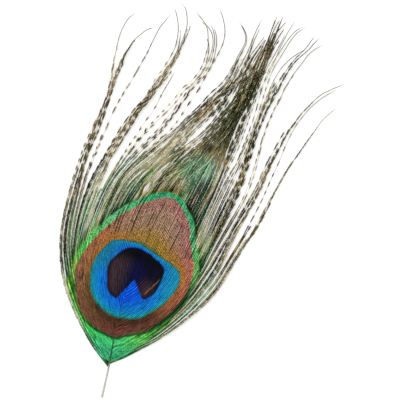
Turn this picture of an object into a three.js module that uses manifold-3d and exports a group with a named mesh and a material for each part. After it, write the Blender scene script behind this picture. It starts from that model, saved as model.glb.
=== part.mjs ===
// The tip of a peacock's train feather, lying face up: a cut shaft, the closed eye vane round it,
// a margin of half-open barbs on each side, and the locks of loose barbs that fan out past the eye.
// Millimetres. +Y runs along the feather from the cut end to the tips, +Z is up, and the feather
// lies on z = 0. The outlines are drawn from the cut end of the shaft at (0, 0).
import * as THREE from 'three';
import { mergeVertices } from 'three/addons/utils/BufferGeometryUtils.js';
import Module from 'manifold-3d';

// Driving dimensions.
const GAP = 0.3;            // air kept between neighbouring pieces
const VANE_DEPTH = 0.8;     // depth of the vane and of the loose locks
const ARCH_HEIGHT = 4;      // how far the middle of the vane stands off the surface
const ARCH_CENTRE = [-2, 64];
const ARCH_REACH = [41, 53]; // how far the arch runs to the sides and along the feather
const SHAFT_WIDTH = 0.7;    // at the cut end
const SHAFT_HEIGHT = 0.9;   // at the cut end
const SHAFT_TIP = 0.4;      // share of the cut end's size that is left at the hair-thin end
const SHAFT_FLAT = 0.2;     // share of the shaft's round that its flat underside takes off
const SHAFT_SIDES = 10;
const SHAFT_STEPS = 30;
const LOCK_STEPS = 18;
const OUTLINE_STEPS = 54;
const MASK_STEPS = 30;
const SHEET_SIZE = [110, 190];  // the sheet that the vane is cut from
const SHEET_CELLS = [18, 24];
const SHEET_START = -10;    // the sheet's lower edge, below the fork of the vane
const REACH = 90;           // half the size of a mask that is wider than the feather
const CUT_MARGIN = 2;       // how far a cutting tool passes above and below a piece
const WELD = 1e-4;
const MIDLINE_FOOT = [-1.2, -5];  // the midline runs on to here, past the ends of every piece
const MIDLINE_HEAD = [8, 125];

// Finishes: a colour and a roughness for each kind of piece.
const HORN = { color: 0x8c8270, roughness: 0.5 };
const EYE_VANE = { color: 0x8a5a2c, roughness: 0.45 };
const GREEN_HERL = { color: 0x59683c, roughness: 0.6 };
const LOCK_ROUGHNESS = 0.65;

// The line that parts the left side from the right: along the shaft, then on past its end.
const MIDLINE = [
  [-1.5, 11.5], [-3.5, 24], [-4.5, 30.5], [-4.5, 37.5], [-4.2, 45.5], [-4, 53],
  [-3, 62], [-1.8, 72.5], [0.5, 83], [2.5, 92.5], [5, 106],
];
const SHAFT_LINE = [[0, 0], ...MIDLINE.slice(0, 6)];

// The closed vane, from the first barbs at the fork round the coloured eye.
const EYE_OUTLINE = [
  [-2, 13], [-11.5, 19.5], [-20, 27], [-25.5, 34], [-28, 41], [-28, 49], [-26.5, 58], [-23, 67],
  [-17.5, 73.5], [-10.5, 78.5], [-3, 81], [2.5, 81], [7.5, 78.5], [11.5, 73], [14.5, 66.5],
  [16.5, 60.5], [17, 52.5], [14.5, 43.5], [10, 34.5], [4, 26], [-0.5, 17],
];

// The outer edge of the margin, where the barbs let go of each other.
const MARGIN_OUTLINE = [
  [-21, 28.5], [-28.5, 36], [-34, 46.5], [-36.5, 57], [-38, 69.5], [-36, 78], [-29.5, 84.5],
  [-19.5, 91], [-9.5, 96], [-0.5, 98.5], [3.5, 102], [9, 101.5], [15, 95.5], [21.5, 89],
  [28, 81.5], [30.5, 72], [28.5, 60], [24, 46.5], [17, 34.5], [9.5, 24], [-0.2, 14],
];

// The loose locks: a centreline from inside the margin to the tips, and the width along it.
const LOCKS = {
  lock_centre: {
    line: [[0, 92], [2.5, 100], [8.5, 111], [12.5, 124], [14, 137], [13.8, 148], [14, 158]],
    widths: [5, 7, 9.5, 9, 6.5, 3.5, 1],
    colour: 0x3a3a24,
  },
  lock_left_1: {
    line: [[-36, 66], [-37, 78], [-37, 100], [-36.8, 112], [-37.5, 124], [-37.6, 133], [-34.5, 139.5]],
    widths: [3.4, 3.2, 2.8, 2.6, 4, 4, 1],
    colour: 0x6e5a40,
  },
  lock_left_2: {
    line: [[-33.2, 70], [-33.8, 80], [-33.3, 91], [-32.3, 103.5], [-30.3, 115], [-27.5, 130], [-23.5, 143.5]],
    widths: [1.6, 1.6, 1.2, 1.2, 1, 1, 0.7],
    colour: 0x5f5a4a,
  },
  lock_left_3: {
    line: [[-29.5, 72], [-29, 82.5], [-27, 93.5], [-24, 106.5], [-20.5, 117], [-17.5, 129], [-16, 140.5],
      [-19.5, 149.5]],
    widths: [4.5, 4.5, 4.8, 4.8, 4.2, 3.4, 2.6, 1],
    colour: 0x6b5335,
  },
  lock_left_4: {
    line: [[-24.5, 74], [-23, 82], [-19, 92.5], [-14.5, 105], [-9.5, 117.5], [-6.5, 127.5], [-6.8, 137.5],
      [-10.5, 144]],
    widths: [4.5, 4.5, 4.6, 4.4, 4.4, 4, 3.6, 1.2],
    colour: 0x54503c,
  },
  lock_left_5: {
    line: [[-17.5, 76], [-16.5, 84], [-12.5, 93], [-7, 103], [-0.5, 116.5], [4, 128], [5.5, 138], [4.2, 146.5],
      [0.5, 151.5]],
    widths: [4.4, 4.8, 5, 4.6, 3.6, 3.4, 3.2, 2, 1],
    colour: 0x6a5434,
  },
  lock_right_5: {
    line: [[10.5, 84], [11.5, 92], [12.7, 103], [14.6, 114], [17, 124]],
    widths: [7, 6.5, 4.4, 3, 1.6],
    colour: 0x514631,
  },
  lock_right_4: {
    line: [[16, 82], [17.2, 94], [18.6, 107], [19.4, 117], [19.2, 127], [18.4, 138], [20.5, 149], [24.5, 157]],
    widths: [1.4, 1.4, 1.4, 1.4, 2.2, 3.4, 3, 1],
    colour: 0x5b5a40,
  },
  lock_right_3: {
    line: [[20.8, 80], [21.6, 92], [22.4, 104], [22.8, 120], [24.8, 134], [28.6, 144.5], [32.5, 153]],
    widths: [4, 4, 3.6, 3.4, 4, 3.4, 1],
    colour: 0x6a6746,
  },
  lock_right_2: {
    line: [[27, 78], [29.4, 92], [30.6, 107], [32, 121], [36, 133], [43.5, 142]],
    widths: [4.4, 4.2, 4, 4, 3.4, 1],
    colour: 0x5f5540,
  },
  lock_right_1: {
    line: [[32, 74], [34.4, 86], [35.8, 98.5], [38.2, 111], [41.2, 122], [45.5, 132.5]],
    widths: [1.2, 1.2, 1.2, 1.2, 1.2, 0.8],
    colour: 0x8a7c68,
  },
};

const wasm = await Module();
wasm.setup();

// A smooth open curve in the plane z = 0 through the points.
function planCurve(points) {
  return new THREE.CatmullRomCurve3(points.map(([x, y]) => new THREE.Vector3(x, y, 0)));
}

// The value at t, from 0 to 1, of a list of values spaced evenly along a line.
function valueAlong(values, t) {
  const place = t * (values.length - 1);
  const before = Math.min(Math.floor(place), values.length - 2);
  return THREE.MathUtils.lerp(values[before], values[before + 1], place - before);
}

// A closed mesh as a solid for cutting.
function toSolid(geometry) {
  const bare = geometry.clone();
  bare.deleteAttribute('normal');
  bare.deleteAttribute('uv');
  const welded = mergeVertices(bare, WELD);
  return new wasm.Manifold(new wasm.Mesh({
    numProp: 3,
    vertProperties: welded.attributes.position.array,
    triVerts: new Uint32Array(welded.index.array),
  }));
}

function toGeometry(solid) {
  const mesh = solid.getMesh();
  const geometry = new THREE.BufferGeometry();
  geometry.setAttribute('position', new THREE.BufferAttribute(mesh.vertProperties, mesh.numProp));
  geometry.setIndex(new THREE.BufferAttribute(mesh.triVerts, 1));
  geometry.computeVertexNormals();
  return geometry;
}

// How far the underside of the vane stands off the surface at a place: a soft arch.
function archAt(x, y) {
  const across = Math.min(1, Math.abs(x - ARCH_CENTRE[0]) / ARCH_REACH[0]);
  const along = Math.min(1, Math.abs(y - ARCH_CENTRE[1]) / ARCH_REACH[1]);
  return ARCH_HEIGHT * (Math.cos(across * Math.PI / 2) * Math.cos(along * Math.PI / 2)) ** 2;
}

// The arched sheet that every piece of vane is cut from.
function archedSheet() {
  const sheet = new THREE.BoxGeometry(...SHEET_SIZE, 1, ...SHEET_CELLS, 1);
  sheet.translate(0, SHEET_SIZE[1] / 2 + SHEET_START, 0);
  const place = sheet.attributes.position;
  for (let i = 0; i < place.count; i += 1) {
    const top = place.getZ(i) > 0 ? VANE_DEPTH : 0;
    place.setZ(i, archAt(place.getX(i), place.getY(i)) + top);
  }
  return toSolid(sheet);
}

// A tall prism over a plan shape, for cutting the sheet.
function prism(shape) {
  const depth = ARCH_HEIGHT + VANE_DEPTH + 2 * CUT_MARGIN;
  return toSolid(new THREE.ExtrudeGeometry(shape, { depth, bevelEnabled: false }).translate(0, 0, -CUT_MARGIN));
}

// The closed outline through the points, pushed outwards by grow.
function outlinePrism(points, grow) {
  const ring = points.map(([x, y]) => new THREE.Vector3(x, y, 0));
  const curve = new THREE.CatmullRomCurve3(ring, true, 'centripetal');
  const turn = Math.sign(THREE.ShapeUtils.area(ring));
  const edge = [];
  for (let i = 0; i < OUTLINE_STEPS; i += 1) {
    const point = curve.getPointAt(i / OUTLINE_STEPS);
    const tangent = curve.getTangentAt(i / OUTLINE_STEPS);
    edge.push(new THREE.Vector2(point.x + turn * grow * tangent.y, point.y - turn * grow * tangent.x));
  }
  return prism(new THREE.Shape(edge));
}

// Everything on one side of the midline, half a gap away from it. side is -1 left and 1 right.
function sideMask(side) {
  const curve = planCurve([MIDLINE_FOOT, ...MIDLINE, MIDLINE_HEAD]);
  const edge = curve.getSpacedPoints(MASK_STEPS).map((p) => new THREE.Vector2(p.x + side * GAP / 2, p.y));
  edge.push(new THREE.Vector2(side * REACH, MIDLINE_HEAD[1]), new THREE.Vector2(side * REACH, MIDLINE_FOOT[1]));
  return prism(new THREE.Shape(edge));
}

// The plan shape of a strip that follows a line, as wide at each place as its widths say.
function stripPrism({ line, widths }, grow) {
  const curve = planCurve(line);
  const left = [];
  const right = [];
  for (let i = 0; i <= LOCK_STEPS; i += 1) {
    const t = i / LOCK_STEPS;
    const point = curve.getPointAt(t);
    const tangent = curve.getTangentAt(t);
    const half = valueAlong(widths, t) / 2 + grow;
    const beyond = i === LOCK_STEPS ? grow : 0;
    const centre = new THREE.Vector2(point.x + beyond * tangent.x, point.y + beyond * tangent.y);
    left.push(new THREE.Vector2(centre.x - half * tangent.y, centre.y + half * tangent.x));
    right.push(new THREE.Vector2(centre.x + half * tangent.y, centre.y - half * tangent.x));
  }
  return prism(new THREE.Shape([...right, ...left.reverse()]));
}

// The shaft: round on top and flat underneath, thinner towards the eye, bent over the arch.
function shaftBar() {
  const curve = planCurve(SHAFT_LINE);
  const bar = new THREE.CylinderGeometry(1, 1, 1, SHAFT_SIDES, SHAFT_STEPS);
  const place = bar.attributes.position;
  for (let i = 0; i < place.count; i += 1) {
    const t = THREE.MathUtils.clamp(place.getY(i) + 0.5, 0, 1);
    const point = curve.getPointAt(t);
    const tangent = curve.getTangentAt(t);
    const size = THREE.MathUtils.lerp(1, SHAFT_TIP, t);
    const across = place.getX(i) * size * SHAFT_WIDTH / 2;
    const round = Math.max(0, (place.getZ(i) + 1) / 2 - SHAFT_FLAT) / (1 - SHAFT_FLAT);
    const height = archAt(point.x, point.y) + SHAFT_HEIGHT * size * round;
    place.setXYZ(i, point.x + across * tangent.y, point.y - across * tangent.x, height);
  }
  return toSolid(bar);
}

function namedMesh(name, solid, finish) {
  const mesh = new THREE.Mesh(toGeometry(solid), new THREE.MeshStandardMaterial({ ...finish, metalness: 0 }));
  mesh.name = name;
  return mesh;
}

// The shaft, the two halves of the eye and the two margins, each clear of those before it.
function vanePieces(sheet) {
  const shaftRoom = stripPrism({ line: SHAFT_LINE, widths: [SHAFT_WIDTH, SHAFT_WIDTH * SHAFT_TIP] }, GAP);
  const eye = sheet.intersect(outlinePrism(EYE_OUTLINE, 0)).subtract(shaftRoom);
  const eyeRoom = outlinePrism(EYE_OUTLINE, GAP);
  const margin = sheet.intersect(outlinePrism(MARGIN_OUTLINE, 0)).subtract(eyeRoom).subtract(shaftRoom);
  const pieces = [namedMesh('shaft', shaftBar(), HORN)];
  for (const [word, side] of [['left', -1], ['right', 1]]) {
    const mask = sideMask(side);
    pieces.push(namedMesh(`eye_${word}`, eye.intersect(mask), EYE_VANE));
    pieces.push(namedMesh(`margin_${word}`, margin.intersect(mask), GREEN_HERL));
  }
  return pieces;
}

// The loose locks, each cut clear of the vane and of the locks before it.
function lockPieces(sheet) {
  let room = outlinePrism(MARGIN_OUTLINE, GAP);
  const pieces = [];
  for (const [name, lock] of Object.entries(LOCKS)) {
    const solid = sheet.intersect(stripPrism(lock, 0)).subtract(room);
    pieces.push(namedMesh(name, solid, { color: lock.colour, roughness: LOCK_ROUGHNESS }));
    room = room.add(stripPrism(lock, GAP));
  }
  return pieces;
}

const sheet = archedSheet();
const feather = new THREE.Group();
feather.add(...vanePieces(sheet), ...lockPieces(sheet));

// Centre the feather over the origin, lying on z = 0.
const box = new THREE.Box3().setFromObject(feather);
const centre = box.getCenter(new THREE.Vector3());
feather.position.set(-centre.x, -centre.y, -box.min.z);

export default feather;
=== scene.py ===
"""The looks of a peacock's train feather: its eye vane, its margins and its loose locks of barbs.

Every barb is one closed bar that starts at the shaft, and carries two rows of closed barbules.
A barb is cut where it leaves the eye and where it leaves the margin, so that each piece stands for
one node of the frame.
"""

import logging
import math
from dataclasses import dataclass, field
from enum import Enum
from functools import cache

import bmesh
import bpy
import numpy as np
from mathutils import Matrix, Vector

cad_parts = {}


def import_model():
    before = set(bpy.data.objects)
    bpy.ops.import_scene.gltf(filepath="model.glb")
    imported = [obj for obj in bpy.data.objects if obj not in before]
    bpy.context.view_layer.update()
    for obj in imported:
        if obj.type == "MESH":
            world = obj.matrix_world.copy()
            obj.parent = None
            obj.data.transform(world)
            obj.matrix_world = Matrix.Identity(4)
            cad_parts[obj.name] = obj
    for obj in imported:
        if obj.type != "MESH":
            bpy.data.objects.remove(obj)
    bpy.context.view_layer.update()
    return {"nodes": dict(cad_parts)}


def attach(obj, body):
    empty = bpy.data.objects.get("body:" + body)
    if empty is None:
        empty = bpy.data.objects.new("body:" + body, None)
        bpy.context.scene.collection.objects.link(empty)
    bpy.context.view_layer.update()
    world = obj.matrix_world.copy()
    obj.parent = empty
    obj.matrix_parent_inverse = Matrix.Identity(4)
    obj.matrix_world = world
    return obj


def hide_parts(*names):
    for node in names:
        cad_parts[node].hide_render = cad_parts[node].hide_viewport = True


LOG = logging.getLogger("feather")
MM = 0.001
SEED = 7
# How many points a barb's line has, how many a group's own line is smoothed to, and into how many parts
# smoothing cuts the way from each point that is given to the next.
SAMPLES = 181
TRACE_SAMPLES = 200
FINE = 8
# The frame's place of the tables' origin, in mm. The tables measure from the cut end of the shaft.
CENTRE_OFFSET = (-3.0575, -78.9835)

Points = tuple[tuple[float, float], ...]


class Flank(Enum):
    """The two sides of the shaft."""

    LEFT = "left"
    RIGHT = "right"


class Zone(Enum):
    """The three stretches of a barb, from the shaft outwards."""

    EYE = "eye"
    MARGIN = "margin"
    LOCK = "lock"


class Slot(Enum):
    """The record's material slots for the barbs."""

    EYE = "eye_vane"
    GREEN = "green_herl"
    BROWN = "brown_herl"


# ------------------------------------------------------------------------------------------ lines


def smooth_line(points: np.ndarray, count: int) -> np.ndarray:
    """Runs a smooth curve through some points and spaces new points evenly along it.

    Args:
        points: the points that the curve passes, one row each.
        count: how many points to return.

    Returns:
        The new points, one row each.
    """
    ends = np.vstack([2 * points[0] - points[1], points, 2 * points[-1] - points[-2]])
    t = np.linspace(0, 1, FINE + 1)[:-1, None]
    runs = []
    for a, b, c, d in zip(ends[:-3], ends[1:-2], ends[2:-1], ends[3:]):
        square, cube = 2 * a - 5 * b + 4 * c - d, 3 * b - a - 3 * c + d
        runs.append(0.5 * (2 * b + (c - a) * t + square * t**2 + cube * t**3))
    runs.append(points[-1:])
    return even_line(np.vstack(runs), count)


def even_line(points: np.ndarray, count: int) -> np.ndarray:
    """Spaces new points evenly along a line.

    Args:
        points: the line's points, one row each.
        count: how many points to return.

    Returns:
        The new points, one row each.
    """
    length = run_of(points)
    at = np.linspace(0, length[-1], count)
    return np.column_stack([np.interp(at, length, points[:, k]) for k in range(points.shape[1])])


def averaged(values: np.ndarray, window: int) -> np.ndarray:
    """The mean of a row's values over an odd number of neighbours."""
    padded = np.pad(values, window // 2, mode="edge")
    return np.convolve(padded, np.ones(window) / window, mode="valid")


def run_of(points: np.ndarray) -> np.ndarray:
    """The distance along a line at each of its points."""
    steps = np.linalg.norm(np.diff(points, axis=0), axis=1)
    return np.concatenate([[0.0], np.cumsum(steps)])


def heading(points: np.ndarray) -> np.ndarray:
    """The unit direction of a line at each of its points."""
    along = np.gradient(points, axis=0)
    return along / np.maximum(np.linalg.norm(along, axis=1, keepdims=True), 1e-9)


def ease(value: np.ndarray | float, low: float, high: float) -> np.ndarray:
    """Goes smoothly from 0 at low to 1 at high."""
    x = np.clip((np.asarray(value, float) - low) / (high - low), 0, 1)
    return x * x * (3 - 2 * x)


def inside(points: np.ndarray, outline: Points) -> np.ndarray:
    """Tells which points lie inside a closed outline.

    Args:
        points: the points, one row each.
        outline: the outline's corners.

    Returns:
        True for each point that is inside.
    """
    corners = np.array(outline, float)
    x, y = points[:, 0:1], points[:, 1:2]
    x1, y1 = corners[:, 0], corners[:, 1]
    x2, y2 = np.roll(x1, -1), np.roll(y1, -1)
    rise = np.where(y2 == y1, 1e-9, y2 - y1)
    crosses = ((y1 > y) != (y2 > y)) & (x < (x2 - x1) * (y - y1) / rise + x1)
    return crosses.sum(axis=1) % 2 == 1


# ------------------------------------------------------------------------------------------ layout

EYE_OUTLINE: Points = (
    (-2, 13), (-11.5, 19.5), (-20, 27), (-25.5, 34), (-28, 41), (-28, 49), (-26.5, 58), (-23, 67),
    (-17.5, 73.5), (-10.5, 78.5), (-3, 81), (2.5, 81), (7.5, 78.5), (11.5, 73), (14.5, 66.5),
    (16.5, 60.5), (17, 52.5), (14.5, 43.5), (10, 34.5), (4, 26), (-0.5, 17),
)  # fmt: skip
MARGIN_OUTLINE: Points = (
    (-1.5, 10), (-21, 26), (-29.5, 36), (-36, 46.5), (-38, 57), (-39, 69.5), (-36, 78), (-29.5, 84.5),
    (-19.5, 91), (-9.5, 96), (-0.5, 98.5), (3.5, 102), (9, 101.5), (15, 95.5), (21.5, 89), (28, 81.5),
    (33, 74), (30.5, 60), (25, 46.5), (18, 34.5), (9.5, 22), (-0.2, 11),
)  # fmt: skip

EYE_CENTRE = (-3.9, 49.7)
BRONZE_RIM = (
    (5, 20.6), (14, 21.0), (24, 21.6), (33, 21.5), (49, 22.7), (57, 25.0), (65, 26.8), (71, 28.0),
    (77, 29.2), (83, 29.9), (90, 28.8), (99, 26.4), (108, 24.3), (121, 22.1), (132, 20.8),
    (146, 19.9), (160, 19.8), (177, 20.8), (189, 22.0), (197, 23.0), (216, 24.0), (227, 25.3),
    (236, 26.3), (248, 26.7), (264, 26.6), (271, 26.6), (280, 24.8), (289, 23.7), (300, 22.9),
    (311, 21.4), (323, 20.6), (337, 20.0), (352, 20.2),
)  # fmt: skip
GREEN_RIM = (
    (0, 22.2), (10, 22.8), (20, 23.2), (30, 23.4), (40, 24.2), (50, 25.2), (60, 27.9), (70, 29.6),
    (80, 31.8), (86, 31.7), (92, 30.6), (100, 28.6), (110, 26.2), (120, 24.6), (130, 23.2),
    (140, 22.4), (150, 21.8), (160, 22.3), (170, 22.4), (180, 23.1), (190, 24.2), (200, 25.4),
    (212, 26.6), (224, 26.6), (236, 27.6), (250, 29.6), (260, 32.6), (270, 35.8), (280, 33.4),
    (290, 29.2), (300, 26.6), (310, 24.4), (320, 23.6), (330, 22.1), (340, 22.0), (350, 22.0),
)  # fmt: skip
BLUE_RIM = (
    (3, 16.5), (12, 16.2), (19, 15.3), (29, 13.1), (46, 10.3), (60, 9.3), (77, 8.9), (105, 10.0),
    (124, 11.0), (139, 12.9), (150, 14.2), (163, 14.7), (178, 15.6), (191, 16.5), (202, 17.3),
    (213, 18.0), (224, 19.0), (240, 19.4), (253, 19.6), (263, 19.4), (274, 18.7), (285, 18.4),
    (297, 17.7), (306, 16.9), (320, 16.3), (337, 16.0), (351, 16.2),
)  # fmt: skip
LEAF_REACH: Points = (
    (0, 9), (30, 7), (50, 7), (75, 12), (95, 18), (125, 17), (150, 13), (165, 9), (185, 4), (215, 3),
    (240, 6), (270, 8), (320, 10),
)  # fmt: skip
HEART_RIM = (
    (7, 10.1), (21, 10.3), (33, 9.6), (53, 8.2), (78, 7.8), (104, 8.3), (128, 9.0), (147, 9.2),
    (166, 9.7), (180, 10.5), (197, 11.1), (215, 11.6), (228, 12.8), (238, 13.3), (250, 13.4),
    (262, 13.2), (276, 12.2), (290, 11.2), (299, 10.8), (305, 11.4), (314, 11.1), (331, 10.6),
    (348, 10.1),
)  # fmt: skip

LEFT_GUIDES: tuple[Points, ...] = (
    ((-1.7, 11.2), (-11.6, 17.8), (-22, 27.3), (-29.2, 36.3), (-34.3, 47), (-37, 57), (-38.7, 70.5),
     (-39, 85), (-38, 96.5), (-37, 105.5), (-37.5, 115), (-39.5, 124), (-40.5, 134), (-38, 141)),
    ((-1.5, 13), (-10.5, 20), (-19.5, 29), (-26, 37.5), (-31.5, 47.5), (-34.5, 57.5), (-36, 74),
     (-36, 86), (-35.5, 100), (-36.5, 113.5), (-36, 122), (-34.5, 130), (-31.5, 135), (-28, 137.5)),
    ((-2, 14.5), (-11, 22.5), (-20, 32), (-26.5, 41.5), (-30, 50), (-32.5, 61), (-34, 76),
     (-33.5, 91), (-32.5, 103.5), (-30.5, 115), (-28.5, 126.5), (-27, 134), (-23.5, 143.5)),
    ((-2.5, 16), (-11.5, 25), (-20, 34), (-25.5, 43), (-28.5, 53.5), (-29.5, 66.5), (-29, 82.5),
     (-27, 93.5), (-24, 106.5), (-20.5, 117), (-17.5, 129), (-16, 140.5), (-19.5, 148.5)),
    ((-3, 19.5), (-11.5, 27.5), (-18.5, 36.5), (-22, 45), (-24.5, 56), (-24.5, 68), (-23.5, 80.5),
     (-19.5, 92.5), (-15, 105), (-10.5, 117.5), (-7, 127.5), (-7.5, 137.5), (-11, 143),
     (-17.5, 146.5)),
    ((-3.5, 22.5), (-10.5, 32), (-16, 41.5), (-19, 50), (-20.5, 61.5), (-20, 72), (-18, 82.5),
     (-14, 92), (-8, 103), (-1.5, 116.5), (3.5, 128), (5.5, 138), (4.5, 146.5), (0.5, 151)),
    ((-4.5, 32.5), (-10, 43.5), (-12.5, 56.5), (-12.5, 70.5), (-10, 81.5), (-5.5, 93), (1.5, 104.5),
     (8.5, 117.5), (12.5, 133.5), (13.5, 145.5), (12, 156)),
    ((-4.2, 52.4), (-3.8, 61.5), (-2.8, 72), (-0.8, 82), (1.6, 91), (5, 101), (10, 113), (14, 128),
     (14.5, 143), (14, 158)),
)  # fmt: skip
RIGHT_GUIDES: tuple[Points, ...] = (
    ((-1, 12.5), (6, 20), (13, 28), (21, 39), (27, 50.5), (30, 64), (32, 75.5), (34, 84.5),
     (35.5, 98.5), (38, 112.5), (41, 123), (45.5, 132.5)),
    ((-1.5, 14), (5.5, 21.5), (12.5, 29.5), (19.5, 41.5), (24.5, 54), (27.5, 67.5), (30.5, 81.5),
     (31.5, 98), (32.5, 113.5), (35, 127), (39, 135), (44.5, 142.5)),
    ((-1.5, 16), (5, 23.5), (11, 31), (17.5, 43.5), (21.5, 56.5), (24, 68.5), (26.5, 80), (29, 96),
     (29.5, 110), (31.5, 121.5), (36, 133), (42, 141)),
    ((-2, 18.5), (4, 25.5), (10, 34), (15, 45.5), (18, 57.5), (19.5, 69.5), (21, 80.5), (22.5, 92.5),
     (22, 104), (21, 120.5), (23, 135.5), (27, 144.5), (32, 153.5)),
    ((-2.5, 22), (3, 29), (8, 37), (12, 48.5), (14.5, 59.5), (15.5, 70.5), (16, 81), (17, 94),
     (18.5, 107), (18, 124.5), (17.5, 137.5), (20.5, 150), (24.5, 157)),
    ((-3.5, 28), (1, 34), (5, 41.5), (8, 51.5), (9.5, 61.5), (10, 71.5), (11, 81), (12, 90),
     (12, 103), (12.5, 115.5), (14, 128), (14.5, 140), (16.5, 149), (20, 158)),
    ((-4.5, 37.5), (-1, 42.5), (1.5, 49.5), (2.5, 59), (3.5, 69), (4.5, 78.5), (5.5, 88), (7, 97.5),
     (9, 110.5), (12.5, 123.5), (14, 138), (13.5, 150), (14, 158)),
    ((-4, 52.2), (-3.4, 61.5), (-2.4, 72), (-0.4, 82), (2, 91), (5.2, 101), (10, 113), (13.4, 127),
     (13, 141.5), (11, 155.5)),
)  # fmt: skip


@dataclass(frozen=True)
class Strand:
    """A group of barbs that run together past the margin.

    Attributes:
        node: the frame's node that its loose part stands for.
        barbs: how many barbs it has in the vane.
        loose: how many of them go on to the tips; the others end soon after the margin.
        spread: half the width of the group where it leaves the margin, in mm.
        tone: 0 for pale tan barbules, 0.5 for olive brown, 1 for dark olive.
        duty: the share of a loose barb that is covered with dark barbules.
        trace: the line of the group past the margin, empty where it follows the guides.
        place: its place between the guides, 0 outermost and 7 next to the shaft.
        reach: the share of the line that its longest barb covers.
        gather: the share of the line over which its barbs come together.
        taper: how much narrower the group is at its tip than where it leaves the margin, as a share.
        curve: 1 where it narrows evenly, over 1 where it narrows late.
    """

    node: str
    barbs: int
    loose: int
    spread: float
    tone: float
    duty: float
    place: float
    trace: Points = ()
    reach: float = 1.0
    gather: float = 0.2
    taper: float = 0.5
    curve: float = 2.0


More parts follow.
